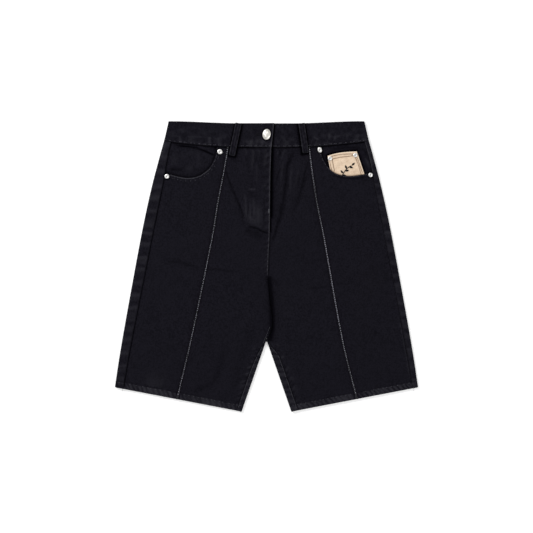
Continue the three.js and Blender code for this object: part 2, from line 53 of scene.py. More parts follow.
# Thicknesses and clearances.
CLOTH = 1.2
BAND = 2.4
LOOP = 1.6
PATCH = 1.0
SEAM_GAP = 0.3
FLY_EXTRA = 1.0
HEM_EXTRA = 0.7
STRIP_RAISE = 0.8

# The plan, as laid out.
BAND_BOTTOM = {"centre": 226.5, "side": 238.5, "bow": 4}
WAIST_TOP = {"centre": 272, "side": 276}
HEM_INNER_Y = -276
HEM_OUTER_Y = -229.7
HEM_DEPTH = 12.5
CROTCH_Y = -140
INSEAM_SLOPE = 0.346
LENGTH = BAND_BOTTOM["centre"] - HEM_INNER_Y
CROTCH_V = (BAND_BOTTOM["centre"] - CROTCH_Y) / LENGTH

# Lines down the front: height, then distance from the centre line.
SIDE_EDGE = [(276, 186.2), (244, 193.4), (213.5, 201.8), (152.5, 218), (76.5, 234.7), (-45, 257.5),
             (-166.5, 278.9), (-229.7, 288.4)]
CREASE_LINE = {
    "left": [(227, 73), (186, 80), (118, 93), (61, 102), (-140, 143.6), (-250, 169.5), (-276, 175.5)],
    "right": [(227, 81), (186, 86), (118, 96.5), (61, 108.2), (-140, 144.5), (-250, 171.5), (-276, 178)],
}
SIDE_WRAP = {
    "left": [(240, 13.5), (196, 16.5), (160, 20.5), (60, 22), (-140, 19), (-230, 17)],
    "right": [(240, 9), (196, 9), (160, 12), (60, 14), (-140, 12), (-230, 10.5)],
}
INSEAM_WRAP = {"left": 8, "right": 11.5}
CENTRE_FRONT = [(240, 9.6), (205, 8.4), (173, 7.3), (65, 5.9), (-15, 3), (-66, 6.2), (-98, 11), (-120, 9.5),
                (-133, 4), (-140, 0)]

# Heights over the back's underside.
EDGE_HEIGHT = 4.6
EDGE_ROUND = 2.6
FLY = {"top": 6.4, "under": 3.9, "reach": 8, "end": 88, "left": -50, "ease": 14}
FLY_CURVE = {"low": 65, "rise": 19, "centre": 4, "half": 47}
VALLEY_TOP = 3.2
BAND_TOP = {"side": 5.4, "centre": 8.1, "from": 35, "to": 110}
OVERLAP_END = 12
UNDERLAP_END = -22
WAIST_LIFT = {"height": LOOP + SEAM_GAP, "from": 150, "to": 195}

# The main folds, as in the solids: height, width, line.
FOLDS = {
    "left": [
        (-0.9, 5, [(-77, 175), (-58, 132), (-47, 97), (-43, 77)]),
        (-0.6, 7, [(-230, 29), (-186, 10), (-118, -7), (-72, -12), (-17, -10)]),
        (-0.8, 10, [(-81, -153), (-88, -191), (-101, -219), (-123, -232), (-146, -238)]),
        (-0.7, 10, [(-30, -113), (-34, -144), (-49, -184), (-55, -210), (-64, -244)]),
    ],
    "right": [
        (-1.2, 6, [(55, 221), (40, 194), (37, 160), (32, 123), (25, 94), (17, 65), (10, 41)]),
        (-0.9, 6, [(78, 179), (67, 144), (57, 116), (48, 101)]),
        (0.7, 7, [(66, 205), (54, 165), (48, 130), (38, 95)]),
        (-0.6, 7, [(12, -34), (86, -39), (141, -32), (204, -10), (244, 8)]),
    ],
}
# The broad rises, as in the solids: x, y, reach, height.
RISES = {
    "left": [
        (-165, 90, 70, 0.9),
        (-90, -90, 80, 1.1),
        (-200, -130, 75, 0.8),
        (-140, 185, 50, 0.5),
    ],
    "right": [
        (170, 60, 75, 0.8),
        (95, -110, 80, 1.1),
        (215, -120, 70, 0.7),
        (150, 185, 55, 1.3),
    ],
}
# Finer creases: depth, width, line. A lip stands up along the left of the line's direction.
CREASES = {
    "left": [
        (0.85, 1.3, [(-77, 176), (-70, 161), (-62.5, 143.5), (-55, 126), (-49, 111), (-45, 98),
                     (-43.5, 84)]),
        (0.95, 1.5, [(-40, 78), (-30, 75), (-22, 74), (-15, 71.5), (-9, 67), (-2, 64), (6, 62.5)]),
        (0.5, 1.2, [(-36, 174), (-31, 172), (-26, 173), (-22, 175)]),
        (0.5, 1.2, [(-35, 144), (-29, 141.5), (-24, 142), (-20, 144)]),
        (0.3, 1.4, [(-31, 158), (-29, 150), (-30, 143)]),
        (0.4, 1.6, [(-47, 70), (-38, 62), (-27, 58), (-16, 57)]),
        (0.2, 3.0, [(-60, 214), (-55, 196), (-53, 176)]),
        (0.2, 3.5, [(-34, 205), (-38, 176), (-36, 150)]),
        (0.2, 2.5, [(-21, 52), (-26, 38), (-22, 22)]),
        (0.12, 3.0, [(-184, 8), (-150, 2), (-112, -6), (-78, -13), (-46, -18)]),
        (0.2, 3.5, [(-66, -28), (-84, -44), (-108, -54)]),
        (0.2, 4.0, [(-214, -66), (-204, -92), (-206, -122)]),
        (0.3, 1.6, [(-17, -70), (-9, -92), (-5, -112)]),
    ],
    "right": [
        (0.62, 2.3, [(58, 220), (50, 206), (43, 190), (36, 171), (25, 150), (16, 138), (12, 128)]),
        (0.4, 1.5, [(23, 221), (18, 212), (14, 204), (12, 196)]),
        (0.4, 1.8, [(34, 203), (28, 188), (24, 170), (24, 152), (21, 140)]),
        (0.6, 2.2, [(46, 178), (42, 158), (38, 138), (36, 118), (32, 100), (26, 84), (19, 68), (13, 48)]),
        (0.45, 1.5, [(81, 180), (74, 164), (70, 148), (62, 130), (57, 118), (52, 110)]),
        (0.35, 1.3, [(66, 172), (61, 160), (60, 148)]),
        (0.3, 1.4, [(22, 128), (17, 114), (14, 100)]),
        (0.2, 3.0, [(29, 10), (52, 7), (76, 8), (98, 5)]),
        (0.12, 3.0, [(60, -46), (92, -42), (118, -37), (152, -30), (186, -20), (210, -13)]),
        (0.2, 3.5, [(44, -78), (66, -92), (92, -98)]),
        (0.25, 4.0, [(52, -170), (60, -198), (74, -222), (96, -236)]),
        (0.2, 4.0, [(220, -92), (206, -118), (200, -146)]),
        (0.35, 1.8, [(22, -92), (24, -112), (20, -130)]),
    ],
}

# Rubbed streaks, and painted shade in creases and beside what stands up, on the fronts: amount (painted shade
# below 0), half width, line.
MARKS = {
    "left": [
        (-0.66, 1.3, [(-82, 187), (-75, 174), (-67, 154), (-57.5, 131.5), (-50.3, 115.5), (-45.5, 100),
                      (-43.8, 84)]),
        (-0.78, 1.5, [(-30, 74.5), (-22, 73.5), (-16, 71.5), (-9, 67), (-2, 64), (5, 62.5)]),
        (-0.34, 7.0, [(-40, 72), (-30, 66), (-19, 60), (-7, 55)]),
        (0.15, 1.5, [(-41, 136), (-39.5, 116), (-39, 92)]),
        (0.08, 1.3, [(-31.5, 121), (-30.6, 104), (-31.5, 80)]),
        (0.12, 1.7, [(-25, 132), (-24, 114), (-23, 98)]),
        (0.09, 2.4, [(-15.7, 112), (-15, 96), (-16.5, 82)]),
        (0.08, 2.8, [(-33, 96), (-27, 90), (-20, 86)]),
        (0.05, 9.0, [(-17, 116), (-13, 98), (-9, 80)]),
        (0.05, 6.0, [(-38, 112), (-32, 94), (-20, 80), (-8, 73)]),
        (-0.2, 1.1, [(-35.5, 122), (-34.8, 108), (-35.5, 98)]),
        (-0.14, 1.2, [(-27.5, 112), (-27.8, 100), (-28.2, 92)]),
        (-0.32, 1.0, [(-4.9, 136), (-5.2, 108), (-5.4, 82)]),
        (-0.32, 1.2, [(-34, 173), (-28, 171), (-22, 173.5)]),
        (0.24, 1.4, [(-33, 146), (-27, 147.5), (-21, 146)]),
        (-0.34, 1.2, [(-36, 141.5), (-28, 139.5), (-20, 141.5)]),
        (-0.3, 1.6, [(-32, 158), (-28, 154), (-26, 149)]),
        (-0.42, 1.6, [(-10, 170.5), (-3, 171), (4, 169.5)]),
        (0.22, 1.8, [(-6, 153), (0, 153.5), (5, 152)]),
        (-0.3, 1.4, [(-8, 144), (-2, 143), (4, 145)]),
        (0.12, 2.2, [(-40, 226), (-38, 217), (-37, 210)]),
        (0.13, 2.6, [(-26, 224), (-25, 206), (-28, 186)]),
        (0.09, 1.6, [(-16, 226), (-14.5, 219), (-15, 212)]),
        (0.13, 3.0, [(-2, 225), (-1, 208), (-4, 190)]),
        (0.08, 2.0, [(-19, 196), (-18, 180), (-20, 160)]),
        (-0.24, 3.4, [(-33, 218), (-36, 200), (-34, 184)]),
        (-0.2, 2.2, [(-20, 214), (-21, 200), (-23, 190)]),
        (-0.16, 2.4, [(-9, 222), (-10, 200), (-11, 176)]),
        (-0.22, 4.0, [(-33, 136), (-26, 134), (-17, 137)]),
        (-0.25, 1.4, [(-7, -119), (-3, -121.4), (1, -124)]),
        (-0.28, 1.4, [(-22, -153), (-18, -155), (-14, -158)]),
        (-0.28, 1.5, [(-28, -170), (-24, -172), (-20, -175)]),
        (-0.24, 1.5, [(-36, -180), (-32, -182), (-28, -185)]),
        (-0.3, 1.6, [(-45, -207), (-40, -210), (-36, -214)]),
        (-0.3, 2.6, [(-193, 10.4), (-161, 7), (-141, 1), (-126.5, -5.5)]),
        (-0.3, 2.4, [(-113, -5), (-88.5, -5.5), (-57, -12)]),
        (-0.14, 2.6, [(-183, -35), (-170, -30), (-158, -25)]),
        (-0.12, 3.4, [(-84, -38), (-72, -36), (-62, -32)]),
        (0.08, 15.0, [(-228, -224), (-211, -219), (-196, -225)]),
        (0.13, 3.0, [(-19, -152), (-22, -155), (-25, -158)]),
        (0.12, 3.2, [(-22, -164), (-25, -167), (-27, -170)]),
        (0.07, 2.6, [(-25, -175), (-27, -178), (-29, -180)]),
        (0.12, 3.4, [(-30, -190), (-33, -193), (-36, -196)]),
        (0.11, 3.2, [(-35, -202), (-38, -206), (-41, -210)]),
        (0.12, 4.2, [(-43, -216), (-46, -221), (-50, -226)]),
    ],
    "right": [
        (-0.24, 1.5, [(20, -160), (24, -161), (28, -164)]),
        (-0.26, 1.5, [(30, -186), (34, -187), (38, -190)]),
        (-0.26, 1.6, [(34, -208), (38, -210), (42, -213)]),
        (-0.2, 1.6, [(40, -222), (44, -224), (48, -227)]),
        (-0.38, 2.6, [(56, 224), (47, 212), (41, 198), (37.5, 186), (37.4, 162), (35.9, 140), (31, 118)]),
        (-0.42, 1.8, [(25, 186), (21.4, 171), (16.8, 156), (12.2, 140)]),
        (-0.5, 1.8, [(82.5, 206), (76.4, 192.5), (71.8, 174), (68, 156), (64, 140), (58, 122)]),
        (-0.42, 4.5, [(58, 225), (64, 221), (69, 215)]),
        (-0.44, 1.4, [(22, 224.5), (26, 216.5), (28, 208)]),
        (-0.36, 1.5, [(30, 224.5), (24.5, 212), (20, 200)]),
        (0.2, 1.3, [(18.5, 225), (21, 215), (20, 205)]),
        (0.16, 1.4, [(35, 224), (31, 214), (28, 204)]),
        (0.13, 2.2, [(48, 186), (45, 166), (43, 146)]),
        (0.1, 2.0, [(31, 200), (29, 180), (27, 160)]),
        (0.09, 2.2, [(62, 186), (57, 166), (53, 146)]),
        (0.09, 1.5, [(17.5, 88), (15, 72), (12.8, 56)]),
        (0.12, 3.0, [(18, -148), (21, -150), (24, -151)]),
        (0.1, 2.6, [(24, -160), (27, -161), (30, -163)]),
        (0.12, 2.4, [(29, -171), (32, -173), (35, -174)]),
        (0.1, 4.2, [(36, -190), (40, -194), (42, -200)]),
        (0.12, 3.6, [(44, -210), (48, -213), (51, -217)]),
        (0.08, 4.0, [(50, -226), (54, -231), (57, -237)]),
        (-0.3, 2.2, [(82, -42), (104, -40), (121, -37)]),
        (-0.16, 2.6, [(128, -36), (150, -33), (172, -26)]),
        (-0.12, 2.6, [(76, 6), (92, 10), (108, 15)]),
        (-0.3, 5.0, [(9, -24), (15, -29), (24, -36)]),
        (-0.58, 1.6, [(128, 173.5), (138, 170), (150, 168), (165, 166.8), (180, 168.6), (190, 171)]),
    ],
}
# The same on the cloth that comes round from the back, then on the facings.
STRIP_MARKS = {
    "left": [
        (0.14, 2.0, [(-192, 232), (-196, 218), (-199, 206)]),
        (0.15, 4.5, [(-283, -222), (-276, -222), (-269, -223)]),
    ],
    "right": [
        (0.26, 2.0, [(187, 236), (191, 222), (196, 206), (200, 190), (202, 180)]),
        (0.2, 1.6, [(196, 214), (198, 206), (201, 197)]),
        (0.22, 4.0, [(269, -222), (275, -222), (281, -221)]),
    ],
}
FACING_MARKS = {
    "left": [
        (0.12, 3.0, [(-150, 232), (-132, 230), (-112, 224)]),
        (-0.28, 2.0, [(-172, 228.5), (-147, 226.5), (-120, 219.5), (-99, 211.5)]),
        (-0.3, 2.6, [(-184, 186), (-174, 184), (-160, 184)]),
    ],
    "right": [
        (0.2, 2.2, [(176, 229), (182, 223), (186, 214), (191, 200), (195, 186)]),
    ],
}
# The same on the waistband.
BAND_MARKS = {
    "left": [
        (0.13, 1.1, [(-186, 248), (-160, 247), (-124, 245.7), (-84, 243.6)]),
        (-0.3, 2.3, [(-158, 251), (-157, 244), (-157, 238)]),
        (-0.24, 4.0, [(-121, 246), (-120, 239), (-120, 233)]),
        (-0.26, 1.9, [(-103, 246), (-102.5, 239), (-102, 232)]),
        (-0.2, 2.6, [(-74, 244), (-73, 238), (-73, 231)]),
        (0.18, 2.0, [(-165, 247), (-164, 241), (-164, 237)]),
        (0.08, 5.0, [(-144, 246), (-143, 240), (-142, 235)]),
        (0.2, 2.2, [(-109, 246), (-108.5, 240), (-108, 233)]),
        (0.17, 3.8, [(-92, 244), (-91, 238), (-90, 231)]),
        (-0.26, 1.5, [(-127, 250), (-124.5, 250), (-122, 249)]),
        (0.1, 0.8, [(-170, 270), (-120, 269), (-70, 268)]),
        (-0.22, 3.5, [(-27, 257), (-22, 257), (-18, 255)]),
        (-0.36, 1.1, [(-14, 266), (-7, 266.2), (-1, 265)]),
        (0.14, 4.0, [(-46, 238), (-24, 236), (0, 237)]),
        (-0.2, 1.8, [(-34, 250), (-33, 242), (-33, 233)]),
    ],
    "right": [
        (0.22, 2.0, [(119, 254), (119, 247), (119, 240)]),
        (0.14, 1.8, [(130, 253), (130, 247), (130, 241)]),
        (0.18, 2.4, [(181, 251), (181.5, 245), (182, 239)]),
        (0.11, 2.8, [(116, 247), (140, 248), (184, 249.5)]),
        (0.24, 1.6, [(88.6, 246), (94, 243.5), (99.3, 240.5)]),
        (-0.24, 2.0, [(119, 236), (142, 237), (165, 239)]),
        (-0.3, 1.5, [(80, 241), (82.5, 245), (85, 250)]),
        (-0.2, 4.0, [(36, 257), (40, 256), (44, 258)]),
        (0.11, 4.0, [(30, 240), (44, 239.5), (56, 241)]),
        (-0.3, 3.4, [(58, 264), (59.5, 248), (62, 232)]),
        (-0.18, 1.8, [(149, 250), (150, 245), (150, 240)]),
        (-0.22, 2.0, [(22, 262), (23, 250), (24, 238)]),
    ],
}

# The scoop pockets' mouths, from the waistband to the side seam.
SCOOP = {
    "left": [(-94, 232), (-96, 213), (-101.5, 197.5), (-108, 187), (-115, 180.5), (-125, 173.5),
             (-136, 169.5), (-149, 168), (-163.5, 169.7), (-178, 173.2), (-205, 180)],
    "right": [(102, 232), (103, 218), (107, 206), (113, 194.5), (119.5, 186), (126.5, 180), (135, 175.6),
              (146, 172.6), (158, 171.8), (172, 173), (187, 175.6), (205, 179)],
}
FACING_RISE = 1.0
# Folds in the facings, which are also painted dark as shade: depth, width, line.
FACING_CREASES = {
    "left": [
        (0.8, 1.4, [(-178, 232), (-160, 229), (-147, 228), (-133, 226), (-116, 219), (-104, 213.6),
                    (-94, 209)]),
        (0.25, 3.0, [(-184, 184), (-170, 186), (-158, 184)]),
    ],
    "right": [
        (0.5, 2.4, [(120, 222), (140, 225), (160, 226), (176, 226), (186, 220), (192, 204)]),
    ],
}

# Colours, linear.
# The darkest colour of each cloth is painted shade, for its hollows and beside what stands up.
DENIM_COLOURS = {"dark": (0.0022, 0.0019, 0.0042), "light": (0.0068, 0.0062, 0.0104),
                 "wear_and_shade_tone": (0.060, 0.059, 0.070), "painted_shade_colour": (0.0005, 0.0004, 0.0008),
                 "warm": (0.0058, 0.0049, 0.0064)}
TWILL_COLOURS = {"dark": (0.64, 0.485, 0.345), "light": (0.74, 0.585, 0.44),
                 "wear_and_shade_tone": (0.84, 0.74, 0.62), "painted_shade_colour": (0.20, 0.13, 0.08)}

# How much white shows in the raised seams: height, then amount.
SEAM_WHITE = {
    "left": [(227, 0.9), (192, 0.9), (164, 0.68), (78, 0.78), (-26, 1.0), (-83, 0.78), (-140, 0.72),
             (-197, 0.65), (-225, 0.9), (-276, 1.8)],
    "right": [(227, 1.4), (192, 1.75), (164, 0.8), (126, 0.3), (78, 1.0), (31, 2.6), (-30, 1.7), (-83, 2.1),
              (-140, 1.4), (-197, 0.35), (-225, 0.9), (-276, 1.6)],
}


def ease(t):
    """A smooth step from 0 to 1."""
    t = np.clip(t, 0.0, 1.0)
    return t * t * (3 - 2 * t)


def mix(a, b, t):
    """From a at 0 to b at 1."""
    return a + (b - a) * t


def bell(away, width):
    """1 in the middle, falling off softly on both sides."""
    return np.exp(-((away / width) ** 2))


def deepest(first, *others):
    """The greatest of several shades at each point."""
    for other in others:
        first = np.maximum(first, other)
    return first


def sign_of(side):
    """The side's direction along X."""
    return -1.0 if side == "left" else 1.0


def smooth_line(rows):
    """Distance against height, on a smooth curve through rows that run downwards."""
    ys, xs = (np.array(column, float) for column in zip(*rows))
    last = len(ys) - 1
    before = [max(0, k - 1) for k in range(last + 1)]
    after = [min(last, k + 1) for k in range(last + 1)]
    slope = (xs[after] - xs[before]) / (ys[after] - ys[before])

    def at(y):
        y = np.asarray(y, float)
        i = np.clip(np.searchsorted(-ys, -y, side="right") - 1, 0, last - 1)
        span = ys[i + 1] - ys[i]
        t = np.clip((y - ys[i]) / span, 0, 1)
        start = xs[i] * (2 * t**3 - 3 * t**2 + 1) + slope[i] * span * (t**3 - 2 * t**2 + t)
        return start + xs[i + 1] * (3 * t**2 - 2 * t**3) + slope[i + 1] * span * (t**3 - t**2)

    return at


side_edge = smooth_line(SIDE_EDGE)
centre_front = smooth_line(CENTRE_FRONT)
crease_lines = {side: smooth_line(CREASE_LINE[side]) for side in SIDES}
side_wraps = {side: smooth_line(SIDE_WRAP[side]) for side in SIDES}
seam_whites = {side: smooth_line(SEAM_WHITE[side]) for side in SIDES}


def side_seam(side, y):
    """How far out the side seam lies."""
    return side_edge(y) - side_wraps[side](y)


def inner_edge(y):
    """How far out the leg's inner edge lies: 0 above the fork."""
    return np.maximum(0.0, (CROTCH_Y - np.asarray(y, float)) * INSEAM_SLOPE)


def inseam_reach(side, y):
    """How far the inseam has come round to the front: slowly on the left leg, soon on the right."""
    if side == "right":
        return ease((CROTCH_Y - y) / 34)
    return 1 - np.clip(1 - (CROTCH_Y - y) / 60, 0, 1) ** 2


def inseam_line(side, y):
    """How far out the inseam lies."""
    return inner_edge(y) + mix(CLOTH + 2 * SEAM_GAP, EDGE_ROUND + INSEAM_WRAP[side], inseam_reach(side, y))


def centre_line(side, y):
    """The inner edge of a front: the fly or centre seam, and past the fork the inseam."""
    out = sign_of(side) * centre_front(y) + SEAM_GAP / 2
    if side == "right":
        out = out - (FLY["reach"] + SEAM_GAP) * ease((y - FLY["end"]) / 8)
    return np.where(y > CROTCH_Y + 5, out, inseam_line(side, y) + SEAM_GAP / 2)


def row_y(v, x):
    """The height on the plan of row v, at a distance x out from the centre line."""
    inner = mix(BAND_BOTTOM["centre"], HEM_INNER_Y, v)
    outer = mix(BAND_BOTTOM["side"], HEM_OUTER_Y, v)
    w = (x - inner_edge(inner)) / (side_edge(outer) - inner_edge(inner))
    return mix(inner, outer, w) - BAND_BOTTOM["bow"] * (1 - v) * 4 * w * (1 - w)


def crossing(v, line):
    """How far out row v meets a line, which gives the distance out at a height."""
    x = line(row_y(v, 100.0))
    for _ in range(12):
        x = line(row_y(v, x))
    return x


def trace(path, x, y):
    """Signed distance from a line of points, positive on its left, and how far along it."""
    nearest = np.full(np.shape(x), 1e9)
    signed = np.zeros_like(nearest)
    station = np.zeros_like(nearest)
    start = 0.0
    for (ax, ay), (bx, by) in zip(path[:-1], path[1:]):
        dx, dy = bx - ax, by - ay
        length = math.hypot(dx, dy)
        t = np.clip(((x - ax) * dx + (y - ay) * dy) / length**2, 0, 1)
        away = np.hypot(x - ax - t * dx, y - ay - t * dy)
        turn = dx * (y - ay) - dy * (x - ax)
        closer = away < nearest
        nearest = np.where(closer, away, nearest)
        signed = np.where(closer, np.where(turn >= 0, away, -away), signed)
        station = np.where(closer, start + t * length, station)
        start += length
    return signed, station


def path_length(path):
    """The whole length of a line."""
    steps = np.diff(np.asarray(path, float), axis=0)
    return float(np.hypot(steps[:, 0], steps[:, 1]).sum())


def stations(path):
    """How far along the line each of its points lies."""
    return np.concatenate([[0], np.cumsum(np.hypot(*np.diff(path, axis=0).T))])


def near_line(path, x, y, width):
    """1 on a line of evenly counted points, falling off softly beside it and past its ends."""
    best = np.zeros(np.shape(x))
    count = len(path) - 1
    for i, ((ax, ay), (bx, by)) in enumerate(zip(path[:-1], path[1:])):
        t = np.clip(((x - ax) * (bx - ax) + (y - ay) * (by - ay)) / ((bx - ax) ** 2 + (by - ay) ** 2), 0, 1)
        reach = (i + t) / count
        taper = ease(reach / 0.2 + 0.25) * ease((1 - reach) / 0.2 + 0.25)
        away = np.hypot(x - mix(ax, bx, t), y - mix(ay, by, t)) / width
        best = np.maximum(best, taper * np.exp(-(away**2)))
    return best


def marks_at(marks, side, x, y):
    """Rubbed streaks and painted shade from a list, added up."""
    total = np.zeros(np.shape(x))
    for amount, width, path in marks[side]:
        total = total + amount * near_line(path, x, y, width)
    return total


def crease(path, x, y, depth, width):
    """A trough with a lip along its left, fading out at both ends."""
    away, station = trace(path, x, y)
    share = station / path_length(path)
    fade = ease(share / 0.25) * ease((1 - share) / 0.25)
    trough = bell(away, width)
    lip = bell(away - 2.1 * width, 1.2 * width)
    return fade * depth * (0.5 * lip - trough)


def uneven(s, pitch, seed):
    """Humps and hollows of uneven size and spacing, between -1 and 1."""
    draw = np.random.default_rng(seed)
    knots = np.cumsum(pitch / 2 * draw.uniform(0.55, 1.45, int(2600 / pitch))) - 60
    heights = np.where(np.arange(len(knots)) % 2, 1, -1) * draw.uniform(0.35, 1, len(knots))
    i = np.clip(np.searchsorted(knots, s) - 1, 0, len(knots) - 2)
    return mix(heights[i], heights[i + 1], ease((s - knots[i]) / (knots[i + 1] - knots[i])))


def ripple(x, y, wavelength, seed):
    """A soft random surface of about one wavelength, between -1 and 1."""
    draw = np.random.default_rng(seed)
    total = np.zeros(np.shape(x))
    for _ in range(9):
        angle, phase = draw.uniform(0, 2 * math.pi, 2)
        k = 2 * math.pi / (wavelength * draw.uniform(0.7, 1.6))
        total = total + np.sin(k * (x * math.cos(angle) + y * math.sin(angle)) + phase)
    return total / 4.5


def lift(y):
    """How far the cloth lies up at the waist, over the back's belt loops."""
    return WAIST_LIFT["height"] * ease((y - WAIST_LIFT["from"]) / (WAIST_LIFT["to"] - WAIST_LIFT["from"]))


def on_fly(x, y):
    """1 on the left front's doubled fly, above the curve of its stitching."""
    end = FLY_CURVE["low"] + FLY_CURVE["rise"] * ((x - FLY_CURVE["centre"]) / FLY_CURVE["half"]) ** 2
    return ease((y - end) / 5) * ease((x - FLY["left"]) / FLY["ease"])


def front_top(side, x, y):
    """The top of the front, as in the solids."""
    z = np.full(np.shape(x), EDGE_HEIGHT, float)
    for rx, ry, reach, height in RISES[side]:
        z = z + height * np.exp(-(((x - rx) ** 2 + (y - ry) ** 2) / reach**2))
    for height, width, path in FOLDS[side]:
        z = z + height * near_line(path, x, y, width)
    if side == "left":
        z = mix(z, FLY["top"], on_fly(x, y))
    else:
        centre = centre_front(y)
        valley = ease((-10 - y) / 35) * (1 - 0.5 * ease((-118 - y) / 20))
        z = mix(z, FLY["under"], ease((y - 55) / 15) * (1 - ease((x - centre - 2) / 12)))
        z = mix(z, VALLEY_TOP, valley * (1 - ease((x - centre) / 13)))
    return z + lift(y)


def down_line(side, line, y_from, y_to, count=26):
    """Plan points down a line that is given as distance out against height."""
    ys = np.linspace(y_from, y_to, count)
    return np.stack([sign_of(side) * line(ys), ys], -1)


def side_seam_path(side):
    """Plan points down the side seam."""
    return down_line(side, lambda y: side_seam(side, y), 236, -228)


def waist_path(side, start, end, count):
    """Plan points along the waist seam, between two distances from the centre line."""
    xs = np.linspace(start, end, count)
    return np.stack([sign_of(side) * xs, row_y(0.0, xs)], -1)


def hem_path(side, inset):
    """Plan points along the hem from the inner to the outer edge, inset from it."""
    s = sign_of(side)
    slope = (HEM_OUTER_Y - HEM_INNER_Y) / (side_edge(HEM_OUTER_Y) - inner_edge(HEM_INNER_Y))
    up = inset * math.hypot(1, slope)
    xs = np.linspace(inner_edge(HEM_INNER_Y), side_edge(HEM_OUTER_Y), 12)
    ys = HEM_INNER_Y + slope * (xs - xs[0]) + up
    return np.stack([s * xs, ys], -1)


def offset_path(path, distance):
    """The line moved to its left."""
    path = np.asarray(path, float)
    along = np.gradient(path, axis=0)
    along /= np.hypot(along[:, 0], along[:, 1])[:, None]
    return path + distance * np.stack([-along[:, 1], along[:, 0]], -1)


def spline(points, count):
    """Points on a smooth curve through the given ones."""
    p = np.asarray(points, float)
    p = np.vstack([p[0], p, p[-1]])
    t = np.linspace(0, len(points) - 1 - 1e-9, count)
    i = t.astype(int)
    f = (t - i)[:, None]
    a, b, c, d = p[i], p[i + 1], p[i + 2], p[i + 3]
    return 0.5 * (2 * b + (c - a) * f + (2 * a - 5 * b + 4 * c - d) * f**2 + (3 * b - a - 3 * c + d) * f**3)


mouths = {side: spline(SCOOP[side], 90) for side in SIDES}


def inside_mouth(side, x, y):
    """How far inside the pocket's mouth a point lies, 0 past its edge."""
    away, _ = trace(mouths[side][::3], x, y)
    return np.maximum(0, sign_of(side) * away)


def fly_stitch(distance):
    """A line down the left front, a distance in from the fly's edge."""
    ys = np.linspace(224, 66, 24)
    return np.stack([centre_front(ys) - distance, ys], -1)


def front_gathers(side):
    """Where the sewing gathers the front's cloth: line, pitch, height, reach and seed."""
    gathers = [
        (side_seam_path(side), 14, 0.22, 5, 11),
        (down_line(side, lambda y: inseam_line(side, y), -152, -262), 11, 0.55, 7, 12),
        (hem_path(side, 6), 9, 0.50, 6, 13),
        (waist_path(side, 5, 186, 16), 13, 0.34, 9, 14),
        (mouths[side][::3], 9, 0.22, 5, 15),
    ]
    if side == "left":
        gathers.append((fly_stitch(5.2), 15, 0.42, 5, 16))
        gathers.append((down_line("right", centre_front, 56, -30) + (-4, 0), 10, 0.35, 5, 17))
    return gathers


def gathered(side, x, y):
    """The height of the front's gathers."""
    z = np.zeros(np.shape(x))
    for path, pitch, height, reach, seed in front_gathers(side):
        away, station = trace(path, x, y)
        humps = uneven(station + 0.7 * away, pitch, seed + 100 * SIDES.index(side))
        z = z + height * humps * bell(away, reach)
    return z


def hem_rise(side, x, y):
    """How far the turned-up hem lifts the cloth."""
    hem, _ = trace(hem_path(side, 0), x, y)
    return HEM_EXTRA * ease((HEM_DEPTH + 1.2 - np.abs(hem)) / 1.4)


def ridge_path(side):
    """Plan points down the raised seam."""
    return down_line(side, crease_lines[side], 232, -262)


def front_surface(side, x, y):
    """The finished top of the front, with its creases and gathers."""
    z = front_top(side, x, y) + gathered(side, x, y)
    for depth, width, path in CREASES[side]:
        z = z + crease(path, x, y, depth, width)
    z = z + hem_rise(side, x, y)
    ridge, _ = trace(ridge_path(side), x, y)
    z = z - 0.45 * bell(ridge, 3.2)
    calm = ease((np.abs(x) - 6) / 20)
    return z + 0.26 * calm * ripple(x, y, 52, 3) + 0.10 * ripple(x, y, 19, 4)


def rope(side, x, y):
    """The uneven swelling of the cloth round the leg's edges, between the pulls of its stitches."""
    middle = side_edge(y) - 0.5 * side_wraps[side](y)
    outer = np.abs(x) > 0.5 * side_edge(y)
    seed = 21 + SIDES.index(side)
    down = 300 - y
    slanted = down + 0.2 * uneven(down, 60, seed + 1) * (np.abs(x) - middle)
    waves = 0.6 * uneven(slanted, 24, seed) + 0.35 * uneven(slanted, 12, seed + 2)
    return np.where(outer, waves, 0.8 * uneven(down, 12, seed + 4)) * (0.8 + 0.2 * uneven(down, 45, seed + 7))


def strip_surface(side, x, y):
    """The top of the back's cloth where it comes round onto the front."""
    edge = np.abs(x) / side_edge(y)
    raise_by = STRIP_RAISE + 0.34 * rope(side, x, y) + 0.25 * ease((0.99 - edge) / 0.02)
    return front_top(side, x, y) + raise_by + hem_rise(side, x, y)


def facing_top(side, x, y):
    """The denim facing in the pocket's mouth."""
    z = lift(y) + 2 * CLOTH + SEAM_GAP + FACING_RISE * ease((inside_mouth(side, x, y) - 3) / 12)
    for depth, width, path in FACING_CREASES[side]:
        z = z + crease(path, x, y, depth, width)
    return z + 0.25 * ripple(x, y, 26, 5 + SIDES.index(side))


# Painted shade beside what stands up, where little light comes.
LOOP_WIDTH = 11.5
LOOP_CORNER = 2.8
SEAM_SHADE = {"left": 0.6, "right": 0.25}
SEAM_PALE = {"left": 0.0, "right": 0.16}
LOOP_REACH = {"left": {"west": 2.6, "east": 4.2}, "right": {"west": 5.0, "east": 2.6}}
# Painted shade under the fly's edge: from a height down to another, amount, reach.
FLY_SHADES = [(228, 96, 1.0, 6.0), (96, 66, 0.8, 3.4), (66, -18, 0.5, 2.0)]
VALLEY = [(4.0, -17), (4.8, -26), (6.2, -38), (8.4, -56), (9.8, -80), (10.8, -104), (11.0, -116), (9.2, -127),
          (6.8, -135), (4.6, -142)]
FRONT_LOOPS = {"left": ((-52.8, 272), (-65.8, 210.5)), "right": ((66.5, 272), (74.6, 215.5))}
BUTTON = {"x": 0.2, "y": 250.6, "wide": 15.3, "long": 20.5, "tilt": -0.14}
RIVETS = [(-88.5, 218), (-189.2, 171.2), (101.3, 221.5), (197.6, 173.8)]


def beside(path, x, y, amount, left, right):
    """A shade along a line, with its own reach on each side, softer further out."""
    away, _ = trace(path, x, y)
    reach = np.where(away > 0, left, right)
    near = np.abs(away) / reach
    return amount * (0.7 * np.exp(-(near**4)) + 0.3 * bell(near, 1.8))


